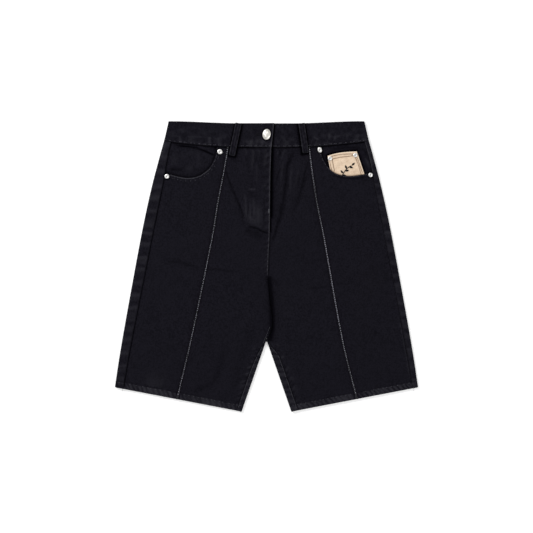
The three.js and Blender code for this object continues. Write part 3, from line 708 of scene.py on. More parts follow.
def around(x, y, centre, half_x, half_y, amount, reach):
    """A shade outside an ellipse."""
    away = (np.hypot((x - centre[0]) / half_x, (y - centre[1]) / half_y) - 1) * (half_x + half_y) / 2
    return amount * bell(np.maximum(away, 0), reach)


def loop_axes(side):
    """The two ends of the front belt loop, and the directions along and across it."""
    top, bottom = (np.array(end, float) for end in FRONT_LOOPS[side])
    along = (bottom - top) / np.linalg.norm(bottom - top)
    return top, bottom, along, np.array([-along[1], along[0]])


def loop_outline(side):
    """The belt loop's two long edges and its lower end, as plan lines."""
    top, bottom, _, across = loop_axes(side)
    across = across * LOOP_WIDTH / 2
    across = across if across[0] > 0 else -across
    west = [tuple(top - across), tuple(bottom - across)]
    east = [tuple(top + across), tuple(bottom + across)]
    return west, east, [west[1], east[1]]


def loop_shade(side, x, y):
    """Painted shade beside the front belt loop."""
    west, east, end = loop_outline(side)
    reach = LOOP_REACH[side]
    return deepest(beside(west, x, y, 0.97, 0.8, reach["west"]), beside(east, x, y, 0.93, reach["east"], 0.8),
                   beside(end, x, y, 1.0, 0.8, 4.0))


def front_shade(side, x, y):
    """Painted shade beside seams, loops, rivets and the fly, in the deeper folds and along the centre's
    valley.
    """
    inseam = down_line(side, lambda at: inseam_line(side, at), -150, -268)
    shades = [
        loop_shade(side, x, y),
        beside(waist_path(side, 0, 190, 20), x, y, 0.95, 2.0, 2.0),
        beside(side_seam_path(side), x, y, SEAM_SHADE[side], 1.2, 1.2),
        beside(inseam, x, y, 0.35, 1.2, 1.2),
        beside(ridge_path(side), x, y, 0.26, 3.8, 5.2),
        beside(VALLEY, x, y, 0.78, 5.8, 5.2) * ease((-14 - y) / 8) * ease((y + 146) / 6),
    ]
    for height, width, path in FOLDS[side]:
        shades.append(max(0, -0.8 * height - 0.44) * near_line(path, x, y, 0.55 * width))
    if side == "right":
        for high, low, amount, reach in FLY_SHADES:
            edge = down_line("right", lambda at: centre_front(at) + 0.5, high, low)
            shades.append(beside(edge, x, y, amount, reach, 3.5))
    for centre in RIVETS:
        shades.append(around(x, y, centre, 4.9, 4.9, 0.9, 1.5))
    return deepest(*shades)


# Meshes.
def graded(length, step, near=(0, 0.2, 0.5, 0.9, 1.5, 2.4)):
    """Shares from 0 to 1 along a length, close together at both ends."""
    count = max(2, round((length - 2 * near[-1]) / step))
    middle = np.linspace(near[-1], length - near[-1], count + 1)
    ends = np.array(near[:-1])
    return np.concatenate([ends, middle, (length - ends)[::-1]]) / length


def rounded(distance, radius):
    """How far a rounded edge drops at a distance in from it."""
    d = np.minimum(distance, radius)
    return radius - np.sqrt(radius**2 - (radius - d) ** 2)


def edge_distances(plan):
    """Distances of a patch's points from its four edges: first and last column, first and last row."""
    gaps = [plan - plan[:, :1], plan - plan[:, -1:], plan - plan[:1], plan - plan[-1:]]
    return [np.hypot(gap[..., 0], gap[..., 1]) for gap in gaps]


def stack(plan, z):
    """Plan points and heights, put together."""
    return np.concatenate([plan, z[..., None]], -1)


def grid_faces(rows, cols, start=0):
    """The faces of a grid of points, kept row by row."""
    i = np.arange(rows - 1)[:, None] * cols + np.arange(cols - 1)[None, :] + start
    return np.stack([i, i + 1, i + cols + 1, i + cols], -1).reshape(-1, 4)


def wall_faces(rows, cols):
    """Faces of a closed wall between two grids of the same size."""
    size = rows * cols
    outer = grid_faces(rows, cols)
    inner = grid_faces(rows, cols, size)[:, ::-1]
    index = np.arange(size).reshape(rows, cols)
    rim = np.concatenate([index[0, :], index[1:, -1], index[-1, -2::-1], index[-2:0:-1, 0]])
    after = np.roll(rim, -1)
    sides = np.stack([after, rim, rim + size, after + size], -1)
    return np.concatenate([outer, inner, sides])


def finish_mesh(obj, merge=False):
    """Points that coincide joined if asked, and all faces turned outwards."""
    bm = bmesh.new()
    bm.from_mesh(obj.data)
    if merge:
        bmesh.ops.remove_doubles(bm, verts=bm.verts, dist=2e-6)
    if bm.calc_volume(signed=True) < 0:
        bmesh.ops.reverse_faces(bm, faces=bm.faces)
    bm.to_mesh(obj.data)
    bm.free()


def mesh_object(name, points, faces, material, wear_and_shade=None, merge=False):
    """A piece of the object from points in millimetres. Its attribute runs from -1, full painted shade, to 1,
    rubbed bare.
    """
    mesh = bpy.data.meshes.new(name)
    faces = faces.tolist() if isinstance(faces, np.ndarray) else faces
    mesh.from_pydata((np.asarray(points, float) * MM).tolist(), [], faces)
    mesh.materials.append(material)
    if wear_and_shade is not None:
        layer = mesh.attributes.new("wear_and_shade", "FLOAT", "POINT")
        layer.data.foreach_set("value", np.clip(wear_and_shade, -1, 1).astype(np.float32).ravel())
    mesh.shade_smooth()
    obj = bpy.data.objects.new(name, mesh)
    bpy.context.scene.collection.objects.link(obj)
    finish_mesh(obj, merge)
    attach(obj, "root")
    return obj


def wall_object(name, outer, inner, material, slot, wear_and_shade, merge=False):
    """A closed piece between two grids of points."""
    rows, cols = outer.shape[:2]
    points = np.concatenate([outer.reshape(-1, 3), inner.reshape(-1, 3)])
    both = np.concatenate([wear_and_shade.ravel(), wear_and_shade.ravel()])
    return mesh_object(name, points, wall_faces(rows, cols), material, both, merge)


def denim_piece(node, outer, inner, wear_and_shade, merge=False):
    """A closed denim piece in place of a solid."""
    obj = wall_object("denim_" + node, outer, inner, DENIM, "denim", wear_and_shade, merge)
    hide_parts(node)
    return obj


# Materials.
class Nodes:
    """A short way to add and join a material's nodes."""

    def __init__(self, name):
        self.material = bpy.data.materials.new(name)
        self.material.use_nodes = True
        self.tree = self.material.node_tree
        self.tree.nodes.clear()
        self.output = self.tree.nodes.new("ShaderNodeOutputMaterial")
        self.shader = self.add("BsdfPrincipled")
        self.join(self.shader.outputs["BSDF"], self.output.inputs["Surface"])

    def add(self, kind, **values):
        """A new node, its values set by the name of a property or an input."""
        node = self.tree.nodes.new("ShaderNode" + kind)
        for key, value in values.items():
            if hasattr(node, key):
                setattr(node, key, value)
            else:
                node.inputs[key.replace("_", " ")].default_value = value
        return node

    def join(self, source, target):
        self.tree.links.new(source, target)

    def place(self, scale=(1, 1, 1), turn=0.0):
        """Object coordinates, turned about Z and scaled."""
        coordinates = self.add("TexCoord")
        mapping = self.add("Mapping")
        mapping.inputs["Rotation"].default_value = (0, 0, turn)
        mapping.inputs["Scale"].default_value = scale
        self.join(coordinates.outputs["Object"], mapping.inputs["Vector"])
        return mapping.outputs["Vector"]

    def noise(self, scale, detail=2.0, stretch=(1, 1, 1), turn=0.0):
        """Noise in the object's own space."""
        node = self.add("TexNoise", Scale=scale, Detail=detail)
        self.join(self.place(stretch, turn), node.inputs["Vector"])
        return node.outputs["Fac"]

    def wave(self, period, turn, distortion=0.0, distortion_scale=1.0):
        """Parallel bands of a period in metres."""
        node = self.add("TexWave", Scale=WAVE_PERIOD / period, Distortion=distortion)
        node.inputs["Detail Scale"].default_value = distortion_scale
        self.join(self.place((1, 1, 1), turn), node.inputs["Vector"])
        return node.outputs["Fac"]

    def math(self, operation, a, b):
        node = self.add("Math", operation=operation)
        for socket, value in zip(node.inputs, (a, b)):
            if isinstance(value, (int, float)):
                socket.default_value = value
            else:
                self.join(value, socket)
        return node.outputs["Value"]

    def ramp(self, source, low, high):
        """0 at low and 1 at high."""
        node = self.add("MapRange", interpolation_type="SMOOTHSTEP")
        node.inputs["From Min"].default_value = low
        node.inputs["From Max"].default_value = high
        self.join(source, node.inputs["Value"])
        return node.outputs["Result"]

    def mix_colour(self, factor, a, b):
        node = self.add("Mix", data_type="RGBA")
        self.join(factor, node.inputs["Factor"])
        for socket, value in ((node.inputs[6], a), (node.inputs[7], b)):
            if isinstance(value, tuple):
                socket.default_value = (*value, 1)
            else:
                self.join(value, socket)
        return node.outputs[2]

    def attribute(self, name):
        return self.add("Attribute", attribute_name=name).outputs["Fac"]

    def bump(self, height, strength, distance, under=None):
        """A bumped normal, over another one if given."""
        node = self.add("Bump", Strength=strength, Distance=distance)
        self.join(height, node.inputs["Height"])
        if under is not None:
            self.join(under, node.inputs["Normal"])
        return node.outputs["Normal"]

    def surface(self, roughness, **more):
        self.shader.inputs["Roughness"].default_value = roughness
        for key, value in more.items():
            self.shader.inputs[key.replace("_", " ")].default_value = value


# The distance in metres between a wave node's bands at scale 1.
WAVE_PERIOD = 0.314


def twill_material(name, rib, angle, relief, sheen, dark, light, wear_and_shade_tone, painted_shade_colour, warm=None):
    """Twill: ribs a set distance apart, broken by crossing yarns, with slubs, mottling, rubbed edges and
    painted shade, which also dims its specular and sheen.
    """
    n = Nodes(name)
    ribs = n.wave(rib, angle, 1.2, 3.0)
    yarns = n.wave(rib * 0.8, angle + 1.25, 1.0, 3.0)
    weave = n.math("MULTIPLY_ADD", ribs, 0.75)
    n.join(n.math("MULTIPLY", yarns, 0.25), weave.node.inputs[2])
    fibres = n.noise(1400, 3.0)
    grain = n.noise(430, 1.0)
    slubs = n.noise(520, 1.0, (1, 0.30, 1), 0.03)
    picks = n.noise(520, 1.0, (0.35, 1, 1), 0.05)
    mottle = n.noise(70, 4.0)
    broad = n.noise(11, 2.0)
    tone = n.math("MULTIPLY", grain, 0.52)
    for part, share in ((slubs, 0.20), (picks, 0.17), (mottle, 0.12), (broad, 0.03)):
        tone = n.math("ADD", tone, n.math("MULTIPLY", part, share))
    cloth = n.mix_colour(n.ramp(tone, 0.40, 0.60), dark, light)
    cloth = n.mix_colour(n.math("MULTIPLY", weave, 0.25), cloth, dark)
    if warm:
        tint = n.ramp(n.noise(7.5, 2.0), 0.5, 0.85)
        cloth = n.mix_colour(n.math("MULTIPLY", tint, 0.14), cloth, warm)
    # Painted shade: below 0 the attribute darkens the cloth towards its darkest colour and fades its specular
    # and sheen.
    painted_shade = n.math("MAXIMUM", n.math("MULTIPLY", n.attribute("wear_and_shade"), -1.0), 0.0)
    cloth = n.mix_colour(painted_shade, cloth, painted_shade_colour)
    rubbed = n.math("MULTIPLY", n.attribute("wear_and_shade"), n.ramp(n.math("ADD", fibres, weave), 0.45, 1.15))
    n.join(n.mix_colour(rubbed, cloth, wear_and_shade_tone), n.shader.inputs["Base Color"])
    soft = n.bump(mottle, 0.25, 0.0012)
    fine = n.bump(n.math("ADD", weave, n.math("MULTIPLY", fibres, 0.6)), relief, 0.00025, soft)
    n.join(fine, n.shader.inputs["Normal"])
    n.surface(0.88, Sheen_Roughness=0.55)
    unshaded = n.math("SUBTRACT", 1.0, painted_shade)
    n.join(n.math("MULTIPLY", unshaded, 0.06), n.shader.inputs["Specular IOR Level"])
    n.join(n.math("MULTIPLY", unshaded, sheen), n.shader.inputs["Sheen Weight"])
    return n.material


def thread_material(name, colour, pale, roughness=0.6, shine=0.25):
    """Twisted thread of two close colours."""
    n = Nodes(name)
    twist = n.noise(1800, 2.0)
    n.join(n.mix_colour(n.ramp(twist, 0.35, 0.7), colour, pale), n.shader.inputs["Base Color"])
    n.join(n.bump(twist, 0.4, 0.0001), n.shader.inputs["Normal"])
    n.surface(roughness, Specular_IOR_Level=shine)
    return n.material


def frayed_material(name):
    """The raised seam's raw edge: white weft showing through black warp, unevenly."""
    n = Nodes(name)
    flecks = n.noise(900, 3.0)
    patches = n.noise(120, 2.0)
    amount = n.math("ADD", n.math("MULTIPLY", flecks, 0.55), n.math("MULTIPLY", patches, 0.45))
    shown = n.math("MULTIPLY", n.ramp(amount, 0.38, 0.60), n.attribute("wear_and_shade"))
    n.join(n.mix_colour(shown, (0.009, 0.009, 0.012), (0.155, 0.152, 0.186)), n.shader.inputs["Base Color"])
    n.join(n.bump(flecks, 0.6, 0.0003), n.shader.inputs["Normal"])
    n.surface(0.9, Specular_IOR_Level=0.15, Sheen_Weight=0.2)
    return n.material


def metal_material(name, colour, dark, roughness):
    """Plated metal, darkened with painted shade where the attribute says it is recessed."""
    n = Nodes(name)
    scuffs = n.noise(420, 4.0)
    tone = n.mix_colour(n.ramp(scuffs, 0.3, 0.8), colour, tuple(0.86 * c for c in colour))
    n.join(n.mix_colour(n.attribute("wear_and_shade"), tone, dark), n.shader.inputs["Base Color"])
    rough = n.add("MapRange")
    n.join(scuffs, rough.inputs["Value"])
    rough.inputs["To Min"].default_value = roughness * 0.75
    rough.inputs["To Max"].default_value = roughness * 1.3
    n.join(rough.outputs["Result"], n.shader.inputs["Roughness"])
    n.join(n.bump(scuffs, 0.08, 0.0002), n.shader.inputs["Normal"])
    n.shader.inputs["Metallic"].default_value = 1.0
    return n.material


DENIM = twill_material("black_denim", rib=0.0011, angle=1.05, relief=0.35, sheen=0.025, **DENIM_COLOURS)
TWILL = twill_material("beige_twill", rib=0.0007, angle=0.9, relief=0.25, sheen=0.10, **TWILL_COLOURS)
FRAYED = frayed_material("frayed_edge")
BLACK_THREAD = thread_material("black_thread", (0.0022, 0.0022, 0.0034), (0.0075, 0.0075, 0.0105), 0.75, 0.08)
GREY_THREAD = thread_material("rubbed_thread", (0.03, 0.03, 0.036), (0.11, 0.11, 0.125), 0.7, 0.12)
WHITE_THREAD = thread_material("white_thread", (0.36, 0.352, 0.425), (0.66, 0.645, 0.775))
BROWN_THREAD = thread_material("brown_thread", (0.10, 0.045, 0.022), (0.20, 0.10, 0.055))
# The second colour of each metal is painted shade for its recesses.
SILVER = metal_material("silver", (0.93, 0.92, 0.90), (0.10, 0.098, 0.095), 0.42)
WARM_SILVER = metal_material("warm_silver", (0.93, 0.905, 0.85), (0.34, 0.31, 0.27), 0.42)


# Fronts.
FRONT_TOP_V = SEAM_GAP / LENGTH
HEM_RUB = 0.3
MOUTH_RUB = {"left": 0.75, "right": 0.22}
EDGE_REACH = 1.1


def front_rows(step):
    """The rows down a leg, one of them at the fork."""
    rows = mix(FRONT_TOP_V, 1.0, graded(LENGTH, step))
    rows[np.argmin(np.abs(rows - CROTCH_V))] = CROTCH_V
    return rows


def shell(plan, top, thickness, radius=0.5):
    """The two faces of a thin cloth whose edges are rounded all the way round."""
    drop = np.zeros(plan.shape[:2])
    for distance in edge_distances(plan):
        drop = np.maximum(drop, rounded(distance, radius))
    half = 0.45 * CLOTH
    drop = np.minimum(drop, half)
    return stack(plan, top - drop), stack(plan, top - thickness + drop)


def edge_wear(plan, amounts, reach=1.0):
    """Rubbing along the four edges of a patch, in the order of edge_distances."""
    wear_and_shade = np.zeros(plan.shape[:2])
    for distance, amount in zip(edge_distances(plan), amounts):
        wear_and_shade = np.maximum(wear_and_shade, amount * bell(distance, reach))
    return wear_and_shade


def hem_wear_and_shade(side, x, y):
    """Light and dark bars across the hem's fold, and a line of painted shade along its upper edge, just above
    its stitching.
    """
    s = sign_of(side)
    away, station = trace(hem_path(side, 0), x, y)
    away = np.abs(away)
    seed = 33 + SIDES.index(side)
    bars = uneven(station + 0.3 * s * away, 9, seed) + 0.6 * uneven(station - 0.4 * away, 3.6, seed + 2)
    strength = np.clip(0.055 + 0.04 * uneven(station, 42, seed + 10), 0.015, 0.10)
    within = ease((HEM_DEPTH + 0.4 - away) / 1.5)
    base = 0.06 + 0.04 * uneven(station, 70, seed + 6)
    line = bell(away - HEM_DEPTH - 0.6, 1.0) * (0.32 + 0.2 * uneven(station, 9, seed + 4))
    rows = bell(away - 11.4, 0.9) + 0.8 * bell(away - 6.6, 1.1)
    base = base + 0.11 * rows * (0.6 + 0.4 * uneven(station, 16, seed + 8))
    return within * (strength * np.clip(bars, -1.6, 1.2) + base) - line


def relief_wear_and_shade(side, x, y, z):
    """Rubbing where the front's cloth stands up, and painted shade in its creases and pulls and beside what
    stands up.
    """
    fine = z - front_top(side, x, y)
    pulls = gathered(side, x, y)
    rubbed = np.clip((fine - pulls - 0.38) * 0.45, 0, 0.2) + np.clip(0.30 * pulls, 0, 0.2)
    shade = np.maximum(np.clip((-0.3 - fine) * 1.1, 0, 0.75), np.clip(-0.65 * pulls, 0, 0.4))
    shade = np.maximum(shade, front_shade(side, x, y))
    marks = marks_at(MARKS, side, x, y)
    if side == "right":
        pale_edge = down_line(side, lambda at: side_seam(side, at) - 2.8, -96, -216)
        rubbed = rubbed + 0.17 * near_line(pale_edge, x, y, 1.1)
    return rubbed + np.maximum(marks, 0) - np.maximum(shade, -marks) + hem_wear_and_shade(side, x, y)


def front_centre(side):
    """The centre front, from the fly or centre seam to the raised seam."""
    v = front_rows(1.9)
    start = crossing(v, lambda y: centre_line(side, y))
    end = crossing(v, crease_lines[side]) - SEAM_GAP / 2
    u = graded(78, 1.6)
    x = mix(start[:, None], end[:, None], u[None, :])
    y = row_y(v[:, None], x)
    sx = sign_of(side) * x
    plan = np.stack([sx, y], -1)
    top = front_surface(side, sx, y)
    wear_and_shade = relief_wear_and_shade(side, sx, y, top)
    thickness = CLOTH
    if side == "left":
        thickness = CLOTH + FLY_EXTRA * on_fly(sx, y)
        fly_rub = mix(0.10, 0.5, ease((y + 30) / 25)) + 0.4 * ease((y - 50) / 20)
        wear_and_shade = wear_and_shade + edge_wear(plan, (fly_rub, 0.0, 0.0, HEM_RUB), 1.7)
        wear_and_shade = wear_and_shade + 0.08 * np.exp(-(((sx + 25) / 17) ** 2) - ((y - 102) / 22) ** 2)
    else:
        wear_and_shade = wear_and_shade + edge_wear(plan, (0.0, 0.0, 0.0, HEM_RUB), EDGE_REACH)
    outer, inner = shell(plan, top, thickness)
    return denim_piece("front_centre_" + side, outer, inner, wear_and_shade)


def front_side(side):
    """The side front, its upper edge running along the waistband and then down the pocket's mouth."""
    s = sign_of(side)
    mouth = mouths[side]
    limit = s * side_seam(side, mouth[:, 1]) - s * SEAM_GAP / 2
    mouth = mouth[np.abs(mouth[:, 0]) < np.abs(limit)]
    end_y = mouth[-1, 1]
    end_x = float(side_seam(side, end_y)) - SEAM_GAP / 2
    start_x = float(crossing(FRONT_TOP_V, crease_lines[side])) + SEAM_GAP / 2
    top_y = float(row_y(FRONT_TOP_V, abs(mouth[0, 0])))
    mouth = mouth[mouth[:, 1] < top_y - 0.5]
    waist_xs = np.linspace(start_x, abs(mouth[0, 0]), 6)
    waist = np.stack([s * waist_xs, row_y(FRONT_TOP_V, waist_xs)], -1)
    border = np.vstack([waist, mouth, [[s * end_x, end_y]]])
    station = stations(border)
    u = graded(station[-1], 1.55)
    w = graded(460, 1.9)
    top_edge = np.stack([np.interp(u * station[-1], station, border[:, k]) for k in (0, 1)], -1)
    v = mix(FRONT_TOP_V, 1.0, w)
    start = crossing(v, crease_lines[side]) + SEAM_GAP / 2
    start_edge = np.stack([s * start, row_y(v, start)], -1)
    hem_start = float(start[-1])
    hem_end = float(crossing(1.0, lambda y: side_seam(side, y))) - SEAM_GAP / 2
    hem_xs = mix(hem_start, hem_end, u)
    hem_edge = np.stack([s * hem_xs, row_y(1.0, hem_xs)], -1)
    end_ys = mix(end_y, float(row_y(1.0, hem_end)), w)
    end_edge = np.stack([s * (side_seam(side, end_ys) - SEAM_GAP / 2), end_ys], -1)
    U, W = u[None, :, None], w[:, None, None]
    across = (1 - W) * top_edge[None] + W * hem_edge[None]
    low = (1 - W) * top_edge[None, :1] + W * hem_edge[None, :1]
    high = (1 - W) * top_edge[None, -1:] + W * hem_edge[None, -1:]
    plan = across + (1 - U) * (start_edge[:, None] - low) + U * (end_edge[:, None] - high)
    x, y = plan[..., 0], plan[..., 1]
    top = front_surface(side, x, y)
    outer, inner = shell(plan, top, CLOTH, 0.6)
    mouth_rub = np.where(y < row_y(0.0, np.abs(x)) - 6, MOUTH_RUB[side], 0.0)
    edges = (0.0, 0.1 + SEAM_PALE[side], mouth_rub, HEM_RUB)
    wear_and_shade = relief_wear_and_shade(side, x, y, top) + edge_wear(plan, edges, EDGE_REACH)
    return denim_piece("front_side_" + side, outer, inner, wear_and_shade)


# Backs.
def back_wear_and_shade(side, layer):
    """Wear and painted shade on the back's outer face: pale swellings, and painted shade in the pulls between
    them and beside the side seam, on the part that lies on the front.
    """
    x, y, z = (layer[..., k] for k in range(3))
    on_top = z > 3
    swell = rope(side, x, y)
    hem = np.abs(trace(hem_path(side, 0), x, y)[0])
    seam = side_seam_path(side)
    dark = SEAM_SHADE[side] * beside(seam, x, y, 1.0, 1.1, 1.1) * (1 - 0.7 * ease((y - 172) / 8))
    shade = np.maximum(dark, 0.28 * np.clip(-swell, 0, 1))
    pale = 0.23 * np.clip(swell, 0, 1) + 0.07 + SEAM_PALE[side] * beside(seam, x, y, 1.0, 1.6, 1.6)
    inside = np.abs(x) < 0.5 * side_edge(y)
    pale = pale + marks_at(STRIP_MARKS, side, x, y) + 0.03 * inside * ease((-150 - y) / 50)
    return on_top * (pale - shade + hem_wear_and_shade(side, x, y)) + 0.5 * bell(hem, 1.1)


def back(side):
    """Under the leg, round its inner and outer edges, and onto the front as far as the seams."""
    s = sign_of(side)
    v = front_rows(2.2)
    y_inner = row_y(v, inner_edge(mix(BAND_BOTTOM["centre"], HEM_INNER_Y, v)))
    y_outer = mix(BAND_BOTTOM["side"], HEM_OUTER_Y, v)
    forked = (v >= CROTCH_V - 1e-9)[:, None]
    inner = (np.where(forked[:, 0], inner_edge(y_inner), 0) + SEAM_GAP / 2)[:, None]
    outer = side_edge(y_outer)[:, None]
    seam_in = crossing(v, lambda y: inseam_line(side, y) - SEAM_GAP / 2)[:, None]
    seam_in = np.maximum(seam_in, inner + CLOTH + 0.05)
    seam_out = crossing(v, lambda y: side_seam(side, y) + SEAM_GAP / 2)[:, None]
    ease_in = inseam_reach(side, y_inner)[:, None]
    turn = np.radians(np.linspace(90, -90, 11))[None, :]
    near = np.array([0, 0.2, 0.5, 0.9, 1.5])
    steps_in = np.concatenate([near / 9, np.linspace(0.25, 0.93, 7)])[None, :]
    steps_out = np.concatenate([near / 18, np.linspace(0.12, 0.96, 16)])[None, :]
    layers = []
    for inset in (0.0, CLOTH):
        def under(x, y):
            """The underside, uneven and pressed up a little along the hem."""
            soft = 0.12 + 0.12 * ripple(x, y, 60, 8)
            hem, _ = trace(hem_path(side, 0), s * x, y)
            stitched = 0.25 * bell(np.abs(hem) - HEM_DEPTH, 1.2)
            return lift(y) + (inset if inset else np.maximum(0, soft + stitched))

        def over(x, y):
            """The cloth that lies on the front."""
            return strip_surface(side, s * x, y) - inset

        def turned(edge, inward, bend, y):
            """The round bend at an edge, from the front to the underside."""
            out = np.maximum(0.02, bend - inset)
            x = edge + inward * (inset + out * (1 - np.cos(turn)))
            low = under(edge + inward * bend, y)
            high = over(edge + inward * bend, y)
            return np.stack([x, y + 0 * x, mix(low, high, (1 + np.sin(turn)) / 2)], -1)

        def strip(seam, edge, steps):
            """The cloth on the front, from its seam to the bend."""
            x = mix(seam, edge, steps)
            y = row_y(v[:, None], x)
            drop = np.minimum(rounded(np.abs(x - seam), 0.5), 0.45 * CLOTH)
            return np.stack([x, y, over(x, y) + (-drop if not inset else drop)], -1)

        round_in = np.maximum(mix(0.05, EDGE_ROUND, ease_in), inset)
        inner_strip = strip(seam_in, inner + round_in, steps_in)
        inner_turn = turned(inner, 1, round_in, y_inner[:, None])
        folded = np.concatenate([inner_strip, inner_turn], 1)
        point = np.stack([inner, y_inner[:, None], under(inner, y_inner[:, None])], -1)
        folded = np.where(forked[..., None], folded, point)
        flat_from = np.where(forked, inner + round_in, inner)
        x = mix(flat_from, outer - EDGE_ROUND, np.linspace(0.01, 0.99, 52)[None, :])
        y = row_y(v[:, None], x)
        flat = np.stack([x, y, under(x, y)], -1)
        outer_turn = turned(outer, -1, EDGE_ROUND, y_outer[:, None])[:, ::-1]
        outer_strip = strip(seam_out, outer - EDGE_ROUND, steps_out)[:, ::-1]
        layer = np.concatenate([folded, flat, outer_turn, outer_strip], 1)
        layer[..., 0] *= s
        layers.append(layer)
    return denim_piece("back_" + side, *layers, back_wear_and_shade(side, layers[0]), merge=True)


# Waistband. BAND_NEAR are the distances of its first rows from its edges.
BAND_HEIGHT = 46
BAND_LENGTH = 200
BAND_NEAR = (0, 0.12, 0.35, 0.7, 1.2, 1.9)
BAND_SEED = 31


def band_top(side, x):
    """The waistband's plain top: the left half rises over the right one."""
    over = 1 - ease((-x - BAND_TOP["from"]) / (BAND_TOP["to"] - BAND_TOP["from"])) if side == "left" else 0.0
    return WAIST_LIFT["height"] + mix(BAND_TOP["side"], BAND_TOP["centre"], over)


def band_upper(x):
    """The height on the plan of the waistband's upper edge."""
    return mix(WAIST_TOP["centre"], WAIST_TOP["side"], ease((np.abs(x) - 50) / 130))


def band_lower(x):
    """The height on the plan of the waistband's seam."""
    return row_y(0.0, np.abs(x)) + SEAM_GAP / 2


def band_gathers(side, x, t):
    """The large and the small gathers along the waistband, and how much the large ones vary."""
    seed = BAND_SEED + SIDES.index(side)
    return uneven(x + 6 * t, 16, seed), uneven(x * 1.1, 9, seed + 2), 0.65 + 0.5 * uneven(x, 37, seed + 3)


def band_surface(side, x, t):
    """The waistband's top, with the gathers in its lower third. t runs from its upper edge to its seam."""
    pulls, small, vary = band_gathers(side, x, t)
    pulls = pulls * bell(t - 0.80, 0.17) * vary
    small = small * bell(t - 0.06, 0.07)
    channel = bell(t - 0.93, 0.025) + bell(t - 0.055, 0.02)
    waves = ripple(x, 50 * t, 48, BAND_SEED + 4 + SIDES.index(side))
    return band_top(side, x) + 0.36 * pulls + 0.12 * small - 0.18 * channel + 0.28 * waves


def waistband(side):
    """Half the waistband: its front, the fold at the side, and the part behind."""
    s = sign_of(side)
    end = -OVERLAP_END if side == "left" else UNDERLAP_END
    t = graded(BAND_HEIGHT, 1.3, BAND_NEAR)[:, None]
    y_side = mix(WAIST_TOP["side"], BAND_BOTTOM["side"] + SEAM_GAP / 2, t)
    edge = side_edge(y_side)
    bend = BAND + 0.5
    turn = np.radians(np.linspace(90, -90, 13))[None, :]
    from_edge = np.minimum(t, 1 - t) * BAND_HEIGHT
    layers = []
    steps = graded(BAND_LENGTH, 1.35, BAND_NEAR)[None, :-len(BAND_NEAR)]
    from_end = (steps - steps[0, 0]) * BAND_LENGTH
    lean = 2.4 * (1 - 2 * t) * np.exp(-from_end / 30) if side == "left" else 0.0
    for inset in (0.0, BAND):
        def at(x):
            return mix(band_upper(x), band_lower(x), t)

        roll = rounded(from_edge, 1.1) * (-1 if not inset else 1)
        x = mix(end, edge - bend, steps) - lean
        end_roll = rounded(from_end, 1.1) * (-1 if not inset else 1)
        shape = np.where(np.abs(end_roll) > np.abs(roll), end_roll, roll)
        y = at(x)
        if side == "left":
            y = y + 0.9 * (0.5 - t) * np.exp(-from_end / 12)
        z = band_surface(side, s * x, t) - inset + shape
        front = np.stack([x, y, z], -1)
        low = WAIST_LIFT["height"] + inset + 0 * t
        high = band_surface(side, s * (edge - bend), t) - inset
        out = bend - inset
        turn_x = edge - inset - out * (1 - np.cos(turn))
        turn_z = mix(low - roll, high + roll, (1 + np.sin(turn)) / 2)
        folded = np.stack([turn_x, y_side + 0 * turn_x, turn_z], -1)
        behind_x = mix(edge - bend, SEAM_GAP / 2, np.linspace(0.02, 1, 60)[None, :])
        behind_z = low - roll + (0.12 * (1 + ripple(behind_x, 50 * t, 60, 9)) if not inset else 0)
        behind = np.stack([behind_x, at(behind_x), behind_z + 0 * behind_x], -1)
        layer = np.concatenate([front, folded, behind], 1)
        layer[..., 0] *= s
        layers.append(layer)
    beyond = layers[0].shape[1] - from_end.shape[1]
    from_end = np.pad(from_end, ((0, 0), (0, beyond)), constant_values=BAND_LENGTH)
    return denim_piece("waistband_" + side, *layers, band_wear_and_shade(side, layers[0], t, from_end))


def band_wear_and_shade(side, layer, t, from_end):
    """Wear and painted shade on the waistband's outer face: pale gathers, streaks and edges, and painted
    shade in the gathers' hollows and beside loop, button and the overlapping end.
    """
    x, y, z = (layer[..., k] for k in range(3))
    on_top = z > 6
    seed = BAND_SEED + SIDES.index(side)
    pulls, small, vary = band_gathers(side, x, t)
    pulls = pulls * bell(t - 0.83, 0.15)
    small = small * bell(t - 0.10, 0.10)
    streaks = ripple(x, y * 0.8, 12, seed + 8)
    wear_and_shade = 0.17 * vary * np.clip(pulls, 0, 1) + 0.10 * np.clip(small, 0, 1) + 0.07 * np.clip(streaks, 0, 1)
    marks = marks_at(BAND_MARKS, side, x, y)
    wear_and_shade = wear_and_shade + 0.08 * bell(t - 0.90, 0.06) + np.maximum(marks, 0)
    button_place = (BUTTON["x"], BUTTON["y"])
    shade = deepest(0.26 * vary * np.clip(-pulls, 0, 1), 0.18 * np.clip(-small, 0, 1), -marks,
                    0.30 * np.clip(-streaks - 0.2, 0, 1), loop_shade(side, x, y),
                    around(x, y, button_place, 7.4, 10.1, 0.95, 2.2))
    if side == "left":
        wear_and_shade = wear_and_shade + 0.75 * bell(from_end, 2.0) * (x > 0)
        wear_and_shade = wear_and_shade + 0.12 * np.exp(-(((x + 4) / 16) ** 2) - ((t - 0.85) / 0.14) ** 2)
    else:
        shade = np.maximum(shade, beside([(15.4, 276), (10.6, 226)], x, y, 0.97, 2.6, 2.6))
    lower_edge = 0.18 * bell((1 - t) * BAND_HEIGHT, 1.2) * (0.6 + 0.4 * uneven(x, 14, seed + 5))
    upper_edge = 0.15 * bell(t * BAND_HEIGHT, 1.2) * (0.6 + 0.4 * uneven(x, 11, seed + 6))
    return on_top * (wear_and_shade - shade) + lower_edge + upper_edge


